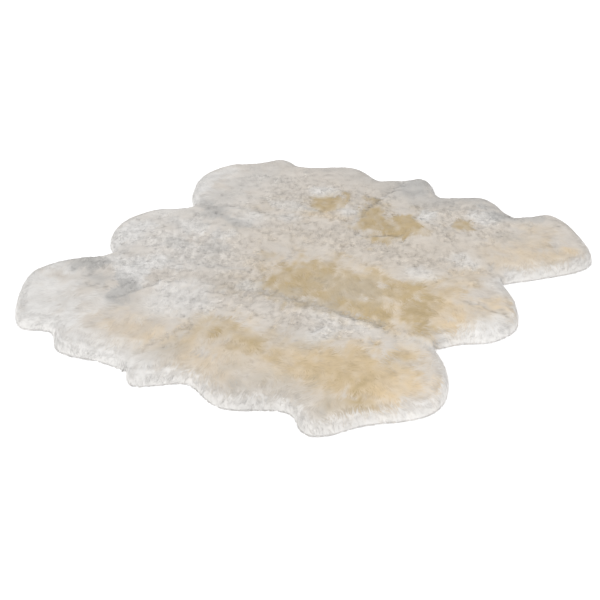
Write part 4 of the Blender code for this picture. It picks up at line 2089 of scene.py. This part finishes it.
@dataclass(frozen=True)
class SoftLight:
    """A wide, even, soft light. Angles are in degrees."""

    name: str
    lamp: Lamp
    azimuth: float  # from which side it shines, as for the camera
    elevation: float
    distance: float
    width: float
    strength: float

    def data(self) -> Light:
        """The lamp itself.

        Returns:
            The lamp's data.
        """
        light = bpy.data.lights.new(self.name, self.lamp.value)
        light.energy = self.strength
        if self.lamp is Lamp.FAR:
            light.angle = radians(self.width)
        else:
            light.shape = "SQUARE"
            light.size = self.width
        return light


@dataclass
class Studio:
    """The floor, the soft lights and the camera."""

    floor_material: Material
    floor_size: float = 60.0
    azimuth: float = 31.3
    elevation: float = 29.3
    distance: float = 3.939
    target: tuple[float, float, float] = (0.0695, -0.2256, 0.0)
    lens: float = 62.28
    sensor: float = 36.0
    sky: Colour = (1.0, 1.0, 1.0)
    sky_strength: float = 0.515
    sky_seen: float = 1.05  # the sky's strength where it shows
    lights: tuple[SoftLight, ...] = (
        SoftLight("key_light", Lamp.FAR, -25.0, 63.0, 4.0, 75.0, 1.31),
        SoftLight("fill_light", Lamp.NEAR, 60.0, 35.0, 2.6, 1.6, 8.0),
    )

    def build(self) -> None:
        """Makes the floor, lights, world and camera."""
        self.add_floor()
        for light in self.lights:
            self.aimed(light.data(), light.azimuth, light.elevation, light.distance)
        self.add_sky()
        self.add_camera()

    def add_floor(self) -> None:
        """A wide floor under the rug."""
        model = bmesh.new()
        bmesh.ops.create_grid(model, x_segments=8, y_segments=8, size=self.floor_size / 2)
        mesh = bpy.data.meshes.new("floor")
        model.to_mesh(mesh)
        model.free()
        mesh.materials.append(self.floor_material)
        floor = added(mesh)
        floor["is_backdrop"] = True

    @staticmethod
    def aimed(data: ID, azimuth: float, elevation: float, distance: float) -> Object:
        """A light or a camera that looks at the rug.

        Args:
            data: The lamp or the camera itself.
            azimuth: From which side it looks, in degrees.
            elevation: How high it stands, in degrees.
            distance: How far it is from the rug's middle.

        Returns:
            Its object.
        """
        turn, rise = radians(azimuth), radians(elevation)
        away = Vector((sin(turn) * cos(rise), -cos(turn) * cos(rise), sin(rise)))
        carrier = added(data)
        carrier.location = away * distance
        carrier.rotation_mode = "QUATERNION"
        carrier.rotation_quaternion = (-away).to_track_quat("-Z", "Y")
        return carrier

    def add_sky(self) -> None:
        """An even, pale surround, and the plain way of showing colours."""
        world = bpy.data.worlds.new("studio")
        world.use_nodes = True
        graph = Graph(world.node_tree)
        seen = graph.add("LightPath").outputs["Is Camera Ray"]
        strength = graph.ranged(seen, 0.0, 1.0, self.sky_strength, self.sky_seen)
        graph.join(world.node_tree.nodes["Background"], {"Color": rgba(self.sky), "Strength": strength})
        bpy.context.scene.world = world
        view = bpy.context.scene.view_settings
        view.view_transform, view.look = "Standard", "None"

    def add_camera(self) -> None:
        """The camera, above the front right corner of the rug."""
        data = bpy.data.cameras.new("camera")
        data.sensor_width = self.sensor
        data.lens = self.lens
        data.clip_start, data.clip_end = 0.05, 200.0
        camera = self.aimed(data, self.azimuth, self.elevation, self.distance)
        camera.location += Vector(self.target)
        bpy.context.scene.camera = camera


# ---- all together


def main() -> None:
    """Builds the rug's pieces in order, then the studio."""
    logging.basicConfig(level=logging.INFO, format="%(name)s: %(message)s")
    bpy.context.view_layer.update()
    locks_material = WoolFinish("wool_locks", fibre=7.0, lump=2.0, bump=0.18, strands=True).make()
    fleece_material = WoolFinish("wool_fleece", bump=0.25).make()
    suede = SuedeFinish().make()
    rug = Rug()
    coat = CoatMap(rug)
    LOG.info("read %d pelts and a skin of %d points", len(rug.pelts), len(rug.skin_points))
    for index, pelt in enumerate(rug.pelts):
        hide = Hide(pelt, suede)
        hide_piece = hide.build()
        fleece = Fleece(pelt, coat, fleece_material)
        fleece_piece = fleece.build()
        rng = np.random.default_rng(SEED + 100 + index)
        locks_piece = Locks(fleece, locks_material, rng).build()
        for piece in (hide_piece, fleece_piece, locks_piece):
            triangles = sum(len(face.vertices) - 2 for face in piece.data.polygons)
            LOG.info("%s: %d triangles", piece.name, triangles)
    thread = SeamThread(rug, ThreadFinish().make()).build()
    LOG.info("%s: %d faces", thread.name, len(thread.data.polygons))
    Studio(FloorFinish().make()).build()


if __name__ == "__main__":
    main()
